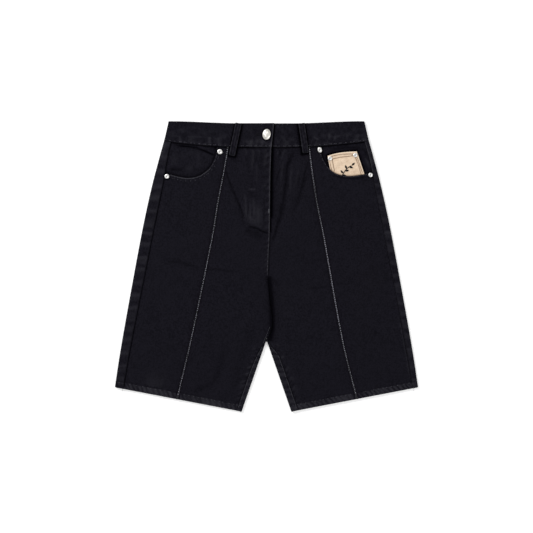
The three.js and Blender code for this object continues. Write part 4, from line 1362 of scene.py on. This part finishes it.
def waist_allowance(side):
    """The cloths' turned-in edges, which close the waist seam from inside."""
    share = graded(BAND_LENGTH, 4.0)[None, :]
    up = np.array([-3.2, -1.0, 1.0, 3.2])[:, None]
    x = mix(0.3, side_edge(BAND_BOTTOM["side"]) - 0.8, share) + 0 * up
    y = band_lower(x) - SEAM_GAP / 2 + up
    z = WAIST_LIFT["height"] + BAND + SEAM_GAP + 0 * x
    layers = [np.stack([sign_of(side) * x, y, z + rise], -1) for rise in (0.12, -0.12)]
    # Coloured as full painted shade, where the seam's gap shows them.
    return wall_object("waist_seam_allowance_" + side, *layers, DENIM, "denim", np.full(x.shape, -0.8))


# Pockets.
COIN_SEAMS = [
    spline([(121.5, 208.2), (131, 211.2), (143, 213.1), (156, 213.8), (166.5, 213.6)], 30),
    spline([(170.4, 211), (173.6, 203), (177.4, 192), (182.2, 178)], 20),
    spline([(118.8, 205), (120.8, 196), (123.6, 184)], 10),
    spline([(129, 182), (127, 192), (125.4, 201), (127, 204.6), (143, 207.8), (156, 209.2), (166.5, 209.8),
            (171.4, 201), (175.8, 189), (179.3, 176)], 60),
]
COIN = {"top": [(116, 210), (128, 213.9), (141, 216.4), (156, 217.9), (171.5, 218.6)],
        "bottom": [(123, 174), (134, 167), (150, 165), (170, 165), (189, 167)], "border": 5.5}


def pocket_facing(side):
    """The facing, from the waist down to just under the pocket's mouth."""
    s = sign_of(side)
    ys = np.linspace(0, 1, 70)[:, None]
    u = graded(110, 1.8)[None, :]
    start = 88 if side == "left" else 96
    x = mix(start, 190, u) + 0 * ys
    top_y = row_y(FRONT_TOP_V, x)
    y = mix(top_y, 158 + 0 * x, ys)
    reach = side_seam(side, y) - SEAM_GAP / 2
    x = mix(start, reach, u)
    y = mix(row_y(FRONT_TOP_V, x), 158, ys)
    plan = np.stack([s * x, y], -1)
    top = facing_top(side, s * x, y)
    outer, inner = shell(plan, top, CLOTH)
    away = inside_mouth(side, s * x, y)
    waist = waist_path(side, 60, 190, 10)
    # Painted shade inside the mouth, under the waistband, in the folds and round the coin pocket.
    shade = np.maximum(0.75 * bell(away, 4.5), beside(waist, s * x, y, 0.85, 2.6, 2.6))
    for depth, width, path in FACING_CREASES[side]:
        shade = np.maximum(shade, depth * near_line(path, s * x, y, 1.3 * width))
    if side == "right":
        rim = COIN["top"][:1] + COIN["bottom"][:1]
        ends = COIN["top"][-1:] + COIN["bottom"][-1:]
        for line, left, right in ((COIN["top"], 4.4, 2), (rim, 2, 4.6), (ends, 4.2, 2)):
            shade = np.maximum(shade, beside(line, s * x, y, 1.0, left, right))
    wear_and_shade = 0.06 * np.clip(ripple(s * x, y, 24, 41), 0, 1) + marks_at(FACING_MARKS, side, s * x, y) - shade
    return denim_piece("pocket_facing_" + side, outer, inner, wear_and_shade)


def coin_surface(x, y, border):
    """The coin pocket's top. border is 1 on its doubled edges."""
    z = facing_top("right", x, y) + SEAM_GAP + PATCH + 0.35 * border
    z = z + 0.35 * ripple(x, y, 20, 51) * (1 - 0.6 * border)
    return z + crease([(128, 178), (137, 190), (150, 196), (165, 194)], x, y, 0.4, 2.6)


def coin_pocket():
    """The coin pocket, from its doubled top edge down to under the front."""
    top = spline(COIN["top"], 40)
    bottom = spline(COIN["bottom"], 40)
    u = graded(60, 0.9)
    w = graded(50, 0.9)
    at = np.linspace(0, 1, 40)
    top_edge = np.stack([np.interp(u, at, top[:, k]) for k in (0, 1)], -1)[None]
    bottom_edge = np.stack([np.interp(u, at, bottom[:, k]) for k in (0, 1)], -1)[None]
    plan = mix(top_edge, bottom_edge, w[:, None, None])
    start, end, upper, _ = edge_distances(plan)
    nearest = np.minimum(np.minimum(start, end), upper)
    border = ease((COIN["border"] - nearest) / 0.8)
    z = coin_surface(plan[..., 0], plan[..., 1], border)
    x, y = plan[..., 0], plan[..., 1]
    wear_and_shade = 0.5 * bell(nearest, 0.8) + 0.15 * border
    # Painted shade along the rows of stitching and beside the front's edge over the mouth.
    for line in COIN_SEAMS:
        wear_and_shade = wear_and_shade - beside(line, x, y, 0.60, 0.9, 0.9)
    soft = np.clip(-ripple(x, y, 15, 53), 0, 1)
    wear_and_shade = wear_and_shade - 0.12 * soft - 0.85 * bell(inside_mouth("right", x, y), 1.7)
    drop = rounded(nearest, 0.45)
    outer, inner = stack(plan, z - drop), stack(plan, z - PATCH + np.minimum(drop, 0.3))
    obj = wall_object("coin_pocket_cloth", outer, inner, TWILL, "twill", wear_and_shade)
    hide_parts("coin_pocket")
    return obj


# Raised seams. Their section: place across in half widths, share of the height.
RIDGE_SECTION = [
    (-1.25, 0.0), (-1.1, 0.45), (-0.75, 0.85), (-0.4, 1.0), (-0.12, 0.72),
    (0.12, 0.74), (0.4, 1.0), (0.75, 0.88), (1.1, 0.45), (1.25, 0.0),
]


def seam_line(side, count=420):
    """Close plan points along the raised seam."""
    v = np.linspace(FRONT_TOP_V, 1.0, count)
    x = crossing(v, crease_lines[side])
    return np.stack([sign_of(side) * x, row_y(v, x)], -1)


def seam_base(side, line):
    """The foot of the raised seam at each of its points."""
    return front_surface(side, line[:, 0], line[:, 1]) + 0.35


def raised_seam(side):
    """A narrow standing ridge of two raw edges, wavering and uneven in height."""
    line = seam_line(side)
    base = seam_base(side, line)
    seed = 61 + SIDES.index(side)
    station = stations(line)
    sway = 0.22 * uneven(station, 7, seed)
    tall = 1.35 + 0.28 * uneven(station, 5, seed + 2) + 0.15 * uneven(station, 2.4, seed + 4)
    half = 0.95 + 0.14 * uneven(station, 4, seed + 6) + 0.7 * ease((station - station[-1] + 14) / 14)
    draw = np.random.default_rng(seed + 8)
    outer, inner, wears = [], [], []
    for offset, height in RIDGE_SECTION:
        rough = 0.10 * draw.standard_normal(len(line)) * (height > 0.5)
        x = line[:, 0] + offset * half + sway
        outer.append(np.stack([x, line[:, 1], base + height * tall + rough], -1))
        inner.append(np.stack([x, line[:, 1], base - 0.1 + 0 * rough], -1))
        white = 0.032 * seam_whites[side](line[:, 1]) * (0.75 + 0.25 * uneven(station, 12, seed + 9))
        wears.append(height**2 * white)
    outer, inner, wear_and_shade = np.stack(outer, 1), np.stack(inner, 1), np.stack(wears, 1)
    obj = wall_object("raised_seam_cloth_" + side, outer, inner, FRAYED, "worn_seam", wear_and_shade)
    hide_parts("raised_seam_" + side)
    return obj


def fibre_fringe(side, count=420):
    """Loose weft ends that stand out of the raised seam."""
    line = seam_line(side)
    base = seam_base(side, line)
    draw = np.random.default_rng(71 + SIDES.index(side))
    points, faces = [], []
    for i in draw.integers(2, len(line) - 2, count):
        out = draw.choice((-1.0, 1.0))
        root_x = line[i, 0] + out * draw.uniform(0.2, 1.0)
        root = np.array([root_x, line[i, 1], base[i] + draw.uniform(0.5, 1.3)])
        lean = np.array([out * draw.uniform(0.4, 1.0), draw.uniform(-0.7, 0.7), draw.uniform(0.0, 0.7)])
        lean *= draw.uniform(0.6, 1.5)
        thick = draw.uniform(0.035, 0.065)
        start = len(points)
        for share, width in ((0, 1), (0.55, 0.8), (1, 0.25)):
            centre = root + lean * share + np.array([0, 0, -0.45 * share**2])
            for angle in (0.5, 2.6, 4.7):
                ring = np.array([0, math.cos(angle), math.sin(angle)])
                points.append(centre + thick * width * ring)
        for k in (0, 3):
            for a, b in ((0, 1), (1, 2), (2, 0)):
                faces.append((start + k + a, start + k + b, start + k + 3 + b, start + k + 3 + a))
        faces.append((start + 2, start + 1, start))
        faces.append((start + 6, start + 7, start + 8))
    return mesh_object("raised_seam_fibres_" + side, points, faces, WHITE_THREAD)


# Sewing.
def height_at(surface, x, y):
    """The height of a surface at one point."""
    return float(surface(np.float64(x), np.float64(y)))


class Sewing:
    """Stitches of one thread, joined into one mesh."""

    # Along the stitch: share of its length, share of its radius, rise in radii.
    RINGS = ((0.0, 0.45, -0.55), (0.22, 1.0, 0.25), (0.78, 1.0, 0.25), (1.0, 0.45, -0.55))
    CORNERS = 5

    def __init__(self, name, material, slot):
        self.name, self.material, self.slot = name, material, slot
        self.points, self.faces = [], []

    def stitch(self, a, b, radius):
        """One stitch: a short tube whose ends dip into the cloth."""
        a, b = np.asarray(a, float), np.asarray(b, float)
        along = b - a
        flat = np.array([-along[1], along[0], 0.0])
        flat /= np.linalg.norm(flat)
        up = np.array([0.0, 0.0, 1.0])
        start = len(self.points)
        for share, swell, rise in self.RINGS:
            centre = a + along * share + up * rise * radius
            for k in range(self.CORNERS):
                angle = 2 * math.pi * k / self.CORNERS
                out = math.cos(angle) * flat + 0.8 * math.sin(angle) * up
                self.points.append(centre + radius * swell * out)
        for ring in range(len(self.RINGS) - 1):
            for k in range(self.CORNERS):
                m = (k + 1) % self.CORNERS
                low, high = start + ring * self.CORNERS, start + (ring + 1) * self.CORNERS
                self.faces.append((low + k, high + k, high + m, low + m))
        self.faces.append(tuple(start + k for k in range(self.CORNERS)))
        last = start + (len(self.RINGS) - 1) * self.CORNERS
        self.faces.append(tuple(last + k for k in reversed(range(self.CORNERS))))

    def line(self, path, height, pitch=3.1, share=0.78, radius=0.30, seed=0, dark=None, pale=1.0):
        """Stitches along plan points. height gives the cloth's top at x and y. The share pale of them are
        this thread's, in runs of uneven length, and the others go to dark."""
        path = np.asarray(path, float)
        station = stations(path)
        draw = np.random.default_rng(seed)
        count = int(station[-1] / pitch)
        starts = (np.arange(count) + 0.1) * pitch + draw.uniform(-0.12, 0.12, count)
        ends = starts + pitch * share
        pairs = np.stack([np.interp(np.stack([starts, ends]), station, path[:, k]) for k in (0, 1)], -1)
        z = height(pairs[..., 0], pairs[..., 1])
        own = (uneven(starts, 9, seed + 50) < 2 * pale - 1) | (pale >= 1)
        for i in range(count):
            sewing = self if own[i] else dark
            sewing.stitch((*pairs[0, i], z[0, i]), (*pairs[1, i], z[1, i]), radius)

    def bar(self, centre, direction, length, width, height, radius=0.28, pitch=0.55):
        """A bartack: close stitches across a short bar."""
        dx, dy = math.cos(direction), math.sin(direction)
        for share in np.arange(-0.5 * length, 0.5 * length, pitch):
            x, y = centre[0] + dx * share, centre[1] + dy * share
            a = (x - dy * width / 2, y + dx * width / 2)
            b = (x + dy * width / 2 + dx * pitch / 2, y - dx * width / 2 + dy * pitch / 2)
            z = height_at(height, x, y) + 0.15
            self.stitch((*a, z), (*b, z), radius)

    def make(self):
        return mesh_object(self.name, self.points, self.faces, self.material)


def band_share(x, y):
    """How far down the waistband a point lies, from 0 to 1."""
    upper = band_upper(x)
    return (upper - y) / (upper - band_lower(x))


def on_band(side):
    """The waistband's top as a surface of x and y."""
    return lambda x, y: band_surface(side, x, band_share(x, y))


def band_path(side, inset, lower):
    """Plan points along the waistband, inset from its seam or from its upper edge."""
    xs = np.linspace(OVERLAP_END - 1.8 if side == "left" else OVERLAP_END + 1, 190 * sign_of(side), 60)
    ys = band_lower(xs) + inset if lower else band_upper(xs) - inset
    return np.stack([xs, ys], -1)


def mouth_path(side, inset):
    """Plan points along the pocket's mouth, moved into the front."""
    path = offset_path(mouths[side], inset * -sign_of(side))
    inside = np.abs(path[:, 0]) < side_seam(side, path[:, 1]) - 1.5
    return path[inside & (path[:, 1] < 224)]


def sew_hem(side, dark, pale, front, strip):
    """The hem's stitching, broken at the seams that cross it: on the front, then on the back's cloth."""
    s = sign_of(side)
    hem = hem_path(side, HEM_DEPTH - 1.3)
    crease_x = abs(crease_lines[side](-262))
    xs = np.linspace(hem[0, 0] + s * 2, hem[-1, 0] - s * 1, 140)
    whole = np.stack([xs, np.interp(s * xs, s * hem[:, 0], hem[:, 1])], -1)
    out = np.abs(xs)
    seam_in, seam_out = inseam_line(side, whole[:, 1]), side_seam(side, whole[:, 1])
    on_cloth = (out > seam_in + 0.6) & (out < seam_out - 0.6) & (np.abs(out - crease_x) > 2.5)
    stretches = [(on_cloth & (out < crease_x), front), (on_cloth & (out > crease_x), front),
                 (out < seam_in - 0.6, strip), (out > seam_out + 0.6, strip)]
    for seed, (chosen, surface) in enumerate(stretches, 5):
        pale.line(whole[chosen], surface, radius=0.30, seed=seed, dark=dark, pale=0.4)


def sew_fly(dark, pale, front, band):
    """The fly's two rows and curve, the centre seam below it, the waistband's end and two bartacks."""
    dark.line(offset_path(fly_stitch(0), -1.5)[:-1], front, seed=11)
    dark.line(fly_stitch(10.5), front, seed=12)
    curve = spline([(-5.5, 69), (-16, 66.5), (-27, 73.5), (-37, 86), (-41, 104)], 40)
    dark.line(curve, front, seed=13)
    seam = down_line("right", centre_front, 58, -14, 40) + (-1.7, 0)
    pale.line(seam, front, radius=0.26, seed=14, dark=dark, pale=0.6)
    tip = spline([(6.4, -114), (2.7, -124), (-1.2, -134), (-4.4, -141.5), (-7.4, -148)], 20)
    pale.line(tip, front, radius=0.26, share=0.95, seed=16)
    end = [(OVERLAP_END + 0.4, 269), (OVERLAP_END - 4.0, 230)]
    dark.line(end, band, seed=15)
    pale.bar((4.6, 105), math.pi / 2, 7.4, 2.8, front, 0.34)
    dark.bar((-4, 68), 0.1, 7.0, 2.2, front)


def sew_side(side):
    """All topstitching of one side, in black thread and in rubbed grey."""
    dark = Sewing("topstitching_" + side, BLACK_THREAD, "denim")
    pale = Sewing("rubbed_topstitching_" + side, GREY_THREAD, "denim")
    front, strip, band = partial(front_surface, side), partial(strip_surface, side), on_band(side)
    pale.line(mouth_path(side, 1.6), front, seed=1, dark=dark, pale=0.75)
    pale.line(mouth_path(side, 5.6), front, radius=0.24, seed=2, dark=dark, pale=0.4 if side == "left" else 0)
    pale.line(band_path(side, 2.4, True), band, share=0.94, radius=0.32, seed=3, dark=dark, pale=0.5)
    dark.line(band_path(side, 2.2, False), band, seed=4)
    sew_hem(side, dark, pale, front, strip)
    inseam = down_line(side, lambda y: inseam_line(side, y) - 1.5, -150, -270, 60)
    pale.line(inseam, strip, radius=0.28, share=0.92, seed=9, dark=dark, pale=0.85)
    dark.line(down_line(side, lambda y: side_seam(side, y) + 1.8, 228, -238, 120), strip, seed=10)
    if side == "left":
        sew_fly(dark, pale, front, band)
    for sewing in (dark, pale):
        sewing.make()


def sew_coin_pocket():
    """The coin pocket's rows. The last one runs inside its doubled edges."""
    brown = Sewing("coin_pocket_stitching", BROWN_THREAD, "twill")
    borders = (1.0, 1.0, 1.0, 0.0)
    for seed, (line, border) in enumerate(zip(COIN_SEAMS, borders), 1):
        brown.line(line, partial(coin_surface, border=border), 2.3, 0.88, 0.40, seed=seed)
    brown.make()


def white_dashes(side):
    """Short lengths of white thread caught along the top of the raised seam."""
    line = seam_line(side)
    base = seam_base(side, line)
    white = Sewing("raised_seam_thread_" + side, WHITE_THREAD, "worn_seam")
    draw = np.random.default_rng(81 + SIDES.index(side))
    i = 4
    while i < len(line) - 8:
        amount = float(seam_whites[side](line[i, 1]))
        height = 1.15 + 0.2 * draw.uniform(-1, 1)
        step = draw.uniform(-0.3, 0.3)
        ends = [(line[k, 0] + step, line[k, 1], base[k] + height) for k in (i, i + 1)]
        white.stitch(*ends, 0.45 * amount**0.7 * draw.uniform(0.75, 1.25))
        i += 3 + int(draw.integers(0, 7) == 0)
    return white.make()


# Belt loops.
def front_loop(side):
    """A folded strip that stands off the waistband a little and is tacked down at both ends."""
    top, bottom, along, across = loop_axes(side)
    length = float(np.linalg.norm(bottom - top))
    t = graded(length, 1.2, (0, 0.15, 0.45, 0.9, 1.5))
    k = graded(LOOP_WIDTH, 0.9, (0, 0.15, 0.45, 0.9, 1.5))
    centre = top[None] + t[:, None] * (bottom - top)[None]
    on_waist = centre[:, 1] > band_lower(centre[:, 0])
    carried = []
    for offset in (-0.5, -0.25, 0, 0.25, 0.5):
        px, py = (centre + across * offset * LOOP_WIDTH).T
        carried.append(np.where(on_waist, band_top(side, px), front_top(side, px, py) + 0.1))
    under = np.max(carried, axis=0)
    window = np.ones(7) / 7
    under = np.maximum(under - 0.3, np.convolve(np.pad(under, 3, mode="edge"), window, "valid"))
    slack = 1.1 * ease(t / 0.3) * ease((1 - t) / 0.22)
    under = under + SEAM_GAP + slack
    trim = rounded((1 - t) * length, LOOP_CORNER)
    spread = (k - 0.5)[None, :] * (LOOP_WIDTH - 2 * trim)[:, None]
    x = centre[:, 0][:, None] + across[0] * spread
    y = centre[:, 1][:, None] + across[1] * spread
    edge = np.minimum(k, 1 - k) * LOOP_WIDTH
    ends = np.minimum(t, 1 - t) * length
    fold = 0.35 * ease((3.4 - edge) / 1.0)[None, :] - 0.45 * ease((3.4 - ends) / 1.5)[:, None]
    seed = 91 + SIDES.index(side)
    wavy = 0.18 * ripple(x, y, 9, seed)
    drop = np.maximum(rounded(edge, 0.8)[None, :] + 0 * x, rounded(ends, 0.8)[:, None] + 0 * x)
    outer = np.stack([x, y, under[:, None] + LOOP + fold + wavy - drop], -1)
    inner = np.stack([x, y, under[:, None] + 0.8 * drop], -1)
    wear_and_shade = 0.30 * bell(edge, 0.8)[None, :] + 0.12 * bell(ends, 1.5)[:, None]
    wear_and_shade = wear_and_shade + 0.16 * ripple(x, y, 7, seed + 2) + 0.07
    # Painted shade just inside the folded edges.
    wear_and_shade = wear_and_shade - 0.35 * bell(edge - 3.6, 0.7)[None, :]
    obj = denim_piece("belt_loop_front_" + side, outer, inner, wear_and_shade)

    def height(px, py):
        """The loop's top, for its stitching."""
        share = np.clip(((px - top[0]) * along[0] + (py - top[1]) * along[1]) / length, 0, 1)
        end = np.minimum(share, 1 - share) * length
        return np.interp(share, t, under) + LOOP + 0.25 - 0.45 * ease((3.4 - end) / 1.5)

    dark = Sewing("belt_loop_stitching_" + side, BLACK_THREAD, "denim")
    for offset in (-0.34, 0.34):
        shift = across * offset * LOOP_WIDTH
        dark.line([top + shift + along * 2, bottom + shift - along * 2], height, 2.8, seed=3)
    for end, inward in ((top, 2.2), (bottom, -2.2)):
        dark.bar(end + along * inward, math.atan2(across[1], across[0]), 8.5, 1.9, height, 0.26)
    dark.make()
    return obj


# The length of a back loop.
BACK_LOOP = 61


def back_loop(place, x_centre):
    """A plain loop under the back of the waistband."""
    k = graded(LOOP_WIDTH, 1.2, (0, 0.2, 0.6))
    t = graded(BACK_LOOP, 2.0, (0, 0.2, 0.6))
    x = x_centre + (k - 0.5)[None, :] * LOOP_WIDTH + 0 * t[:, None]
    y = 271 - BACK_LOOP * t[:, None] + 0 * x
    ends = np.minimum(t, 1 - t)[:, None] * BACK_LOOP
    edge = np.minimum(np.minimum(k, 1 - k)[None, :] * LOOP_WIDTH, ends)
    drop = rounded(edge, 0.6)
    outer = np.stack([x, y, LOOP - drop], -1)
    inner = np.stack([x, y, drop], -1)
    return denim_piece("belt_loop_back_" + place, outer, inner, 0.4 * np.exp(-edge))


# Metal.
# From the rim below to the nib on top: share of the radius, share of the height, painted shade.
RIVET_PROFILE = [
    (0.96, 0, 0.5), (1, 0.12, 0.4), (1, 0.45, 0.2), (0.97, 0.68, 0), (0.90, 0.85, 0), (0.80, 0.95, 0),
    (0.66, 1.0, 0), (0.50, 0.98, 0), (0.36, 0.90, 0.05), (0.30, 0.74, 0.6), (0.26, 0.60, 1), (0.20, 0.56, 1),
    (0.16, 0.62, 0.8), (0.13, 0.86, 0.3), (0.05, 0.92, 0.2),
]
# Radius and height, then the width as a share of the length and the turn of an oval one.
RIVET_SIZES = {
    "rivet_left_upper": (4.8, 1.5),
    "rivet_left_lower": (4.4, 1.5),
    "rivet_right_upper": (5.2, 1.5, 0.76, 0.28),
    "rivet_right_lower": (4.1, 1.5),
    "coin_rivet_left": (4.1, 1.2),
    "coin_rivet_right": (4.1, 1.2),
}
# The button: share of its half length, height over its base.
BUTTON_HEIGHT = 3.5
BUTTON_RIM = [
    (0.10, -2.4), (0.12, 0.0), (0.90, 0.0), (0.97, 0.35), (1.0, 0.85), (0.985, 1.3), (0.945, 1.7),
    (0.885, 1.95), (0.83, 1.93), (0.79, 1.72), (0.765, 1.62), (0.735, 1.72), (0.69, 1.98),
]
PETALS = {"count": 8, "depth": 0.24}


def lathe(profile, sides=48, wide=1.0, turn=0.0, dish=None):
    """Points and faces of a turned form. The profile runs from the axis below to the axis on top."""
    points, faces, wear_and_shade = [], [], []
    c, s = math.cos(turn), math.sin(turn)
    for r, z, wear_and_shade_tone in profile:
        for k in range(sides):
            angle = 2 * math.pi * k / sides
            x, y = r * wide * math.cos(angle), r * math.sin(angle)
            bump = dish(r, angle) if dish else 0.0
            points.append((c * x - s * y, s * x + c * y, z + bump))
            wear_and_shade.append(wear_and_shade_tone)
    rows = len(profile)
    for i in range(rows - 1):
        for k in range(sides):
            m = (k + 1) % sides
            faces.append((i * sides + k, i * sides + m, (i + 1) * sides + m, (i + 1) * sides + k))
    faces.append(tuple(reversed(range(sides))))
    faces.append(tuple((rows - 1) * sides + k for k in range(sides)))
    return np.array(points), faces, np.array(wear_and_shade)


def rivet(node, radius, height, wide=1.0, turn=0.0):
    """A rivet's cap in place of its solid."""
    low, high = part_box(node)
    centre = np.array([(low[0] + high[0]) / 2, (low[1] + high[1]) / 2, low[2]]) / MM
    profile = [(radius * r, height * z, wear_and_shade_tone) for r, z, wear_and_shade_tone in RIVET_PROFILE]
    points, faces, wear_and_shade = lathe(profile, 48, wide, turn)
    obj = mesh_object("metal_" + node, points + centre, faces, SILVER, wear_and_shade)
    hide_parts(node)


def button():
    """The oval button: a rolled rim, a groove and a dome."""
    _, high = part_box("button")
    base = high[2] / MM - BUTTON_HEIGHT
    half = BUTTON["long"] / 2
    dome = [(r, 2.0 + 1.15 * math.sqrt(max(0, 1 - (r / 0.72) ** 2))) for r in np.linspace(0.66, 0.02, 14)]

    def dish(r, angle):
        """A ring of shallow petals pressed into the dome."""
        share = r / half
        band = ease((share - 0.16) / 0.12) * (1 - ease((share - 0.50) / 0.1))
        return -PETALS["depth"] * float(band) * (0.5 + 0.5 * math.cos(PETALS["count"] * angle))

    # Painted shade in the groove, and a little over the rest.
    profile = [(r * half, base + z, 0.75 if 0.74 < r < 0.80 else 0.05) for r, z in BUTTON_RIM + dome]
    points, faces, wear_and_shade = lathe(profile, 72, BUTTON["wide"] / BUTTON["long"], BUTTON["tilt"], dish)
    points = points + np.array([BUTTON["x"], BUTTON["y"], 0])
    obj = mesh_object("metal_button", points, faces, WARM_SILVER, wear_and_shade)
    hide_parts("button")


def buttonhole():
    """Close stitches round the slot, whose end shows beside the button."""
    dark = Sewing("buttonhole_stitching", BLACK_THREAD, "denim")
    end, y = -16.5, BUTTON["y"]
    near, far = 0.7, 2.9
    rows = [(x, 0.0, up) for x in np.arange(end, -2, 0.5) for up in (-1, 1)]
    fan = [(end, math.cos(angle), math.sin(angle)) for angle in np.linspace(math.pi / 2, 1.5 * math.pi, 12)]
    for x, dx, dy in rows + fan:
        z = height_at(on_band("left"), x, y) + 0.1
        dark.stitch((x + near * dx, y + near * dy, z), (x + far * dx, y + far * dy, z), 0.25)
    dark.make()


# Where each leaf leaves the stem, and its direction.
LEAVES = [(146, 177, 2.3), (149, 181.5, 0.2), (152.5, 185.5, 2.0), (157, 189, -0.2), (162, 192, 0.7),
          (145, 174.5, -0.4)]


def sprig():
    """A small leafy sprig worked in black cord on the coin pocket."""
    cord = Sewing("coin_pocket_sprig", BLACK_THREAD, "twill")

    def top(x, y):
        return coin_surface(x, y, 0.0) + 0.2

    stem = spline([(143, 172), (148, 180), (154, 187), (162, 192)], 30)
    cord.line(stem, top, 1.5, 1.2, 0.8, seed=5)
    for x, y, angle in LEAVES:
        for share in np.linspace(0.08, 1, 9):
            reach = 7.6 * share
            half = 2.0 * math.sin(math.pi * share) + 0.12
            cx, cy = x + reach * math.cos(angle), y + reach * math.sin(angle)
            nx, ny = -math.sin(angle), math.cos(angle)
            z = height_at(top, cx, cy)
            cord.stitch((cx - nx * half, cy - ny * half, z), (cx + nx * half, cy + ny * half, z), 0.5)
    cord.make()


def fork_web():
    """The bulk where the seams cross at the fork, which closes its point in a small round."""
    across = np.linspace(-1, 1, 15)[None, :]
    down = graded(1, 0.1, (0, 0.04, 0.1))[:, None]
    x = 0.6 + 3.0 * across + 0 * down
    y = mix(-137.5, -143.4 + 0.9 * across**2, down)
    swell = 1.6 * np.sqrt(np.clip(1 - 0.9 * across**2, 0, 1) * np.clip(1.02 - down**2, 0, 1))
    layers = [stack(np.stack([x, y], -1), 1.9 + side * swell) for side in (1, -1)]
    # Coloured dark as painted shade, darkest on the right.
    wall_object("fork_seam_bulk", *layers, DENIM, "denim", -0.25 - 0.6 * ease((x - 0.6) / 2))


# The garment.
for side in SIDES:
    front_centre(side)
    front_side(side)
    back(side)
    waistband(side)
    waist_allowance(side)
    pocket_facing(side)
    raised_seam(side)
    fibre_fringe(side)
    white_dashes(side)
    sew_side(side)
    front_loop(side)
fork_web()
coin = coin_pocket()
sew_coin_pocket()
sprig()
back_loops = [back_loop(place, x) for place, x in (("left", -118), ("centre", 0), ("right", 118))]
for node, sizes in RIVET_SIZES.items():
    rivet(node, *sizes)
button()
buttonhole()


# The studio. The camera looks straight down and sees what the photograph does at the cloth's level:
# its width in pixels, and the millimetres of each.
PHOTO_WIDTH = 533
PHOTO_SCALE = 1.9
CLOTH_LEVEL = 0.006


def flat_material(name, colour, roughness):
    """One even colour."""
    n = Nodes(name)
    n.shader.inputs["Base Color"].default_value = (*colour, 1)
    n.surface(roughness, Specular_IOR_Level=0.1)
    return n.material


def floor():
    """White paper under the shorts, a little brighter than its light alone would make it."""
    half, depth = 6.0, -0.0003
    mesh = bpy.data.meshes.new("floor")
    corners = [(-half, -half, depth), (half, -half, depth), (half, half, depth), (-half, half, depth)]
    mesh.from_pydata(corners, [], [(0, 1, 2, 3)])
    paper = flat_material("floor", (0.9, 0.9, 0.9), 0.9)
    shader = paper.node_tree.nodes["Principled BSDF"]
    shader.inputs["Emission Color"].default_value = (1, 1, 1, 1)
    shader.inputs["Emission Strength"].default_value = 0.3
    mesh.materials.append(paper)
    obj = bpy.data.objects.new("floor", mesh)
    bpy.context.scene.collection.objects.link(obj)


def area_light(name, place, size, power):
    """A round light that faces the middle of the floor."""
    data = bpy.data.lights.new(name, "AREA")
    data.shape = "DISK"
    data.size = size
    data.energy = power
    obj = bpy.data.objects.new(name, data)
    obj.location = place
    obj.rotation_euler = (-Vector(place)).to_track_quat("-Z", "Y").to_euler()
    bpy.context.scene.collection.objects.link(obj)


def studio():
    """The paper, a key light from the upper left, a weak fill, and an even white sky."""
    floor()
    area_light("key", (-1.7, 1.6, 1.65), 1.7, 66)
    area_light("fill", (1.8, -1.2, 2.0), 1.6, 20)
    world = bpy.data.worlds.new("studio")
    world.use_nodes = True
    background = world.node_tree.nodes["Background"]
    background.inputs["Color"].default_value = (1, 1, 1, 1)
    background.inputs["Strength"].default_value = 0.56
    scene = bpy.context.scene
    scene.world = world
    scene.view_settings.view_transform = "Standard"
    camera = bpy.data.cameras.new("camera")
    camera.lens = 100
    camera.sensor_width = 36
    camera.clip_end = 50
    obj = bpy.data.objects.new("camera", camera)
    distance = PHOTO_WIDTH * PHOTO_SCALE * MM * camera.lens / camera.sensor_width
    obj.location = (0.0, 0.0, distance + CLOTH_LEVEL)
    scene.collection.objects.link(obj)
    scene.camera = obj


studio()
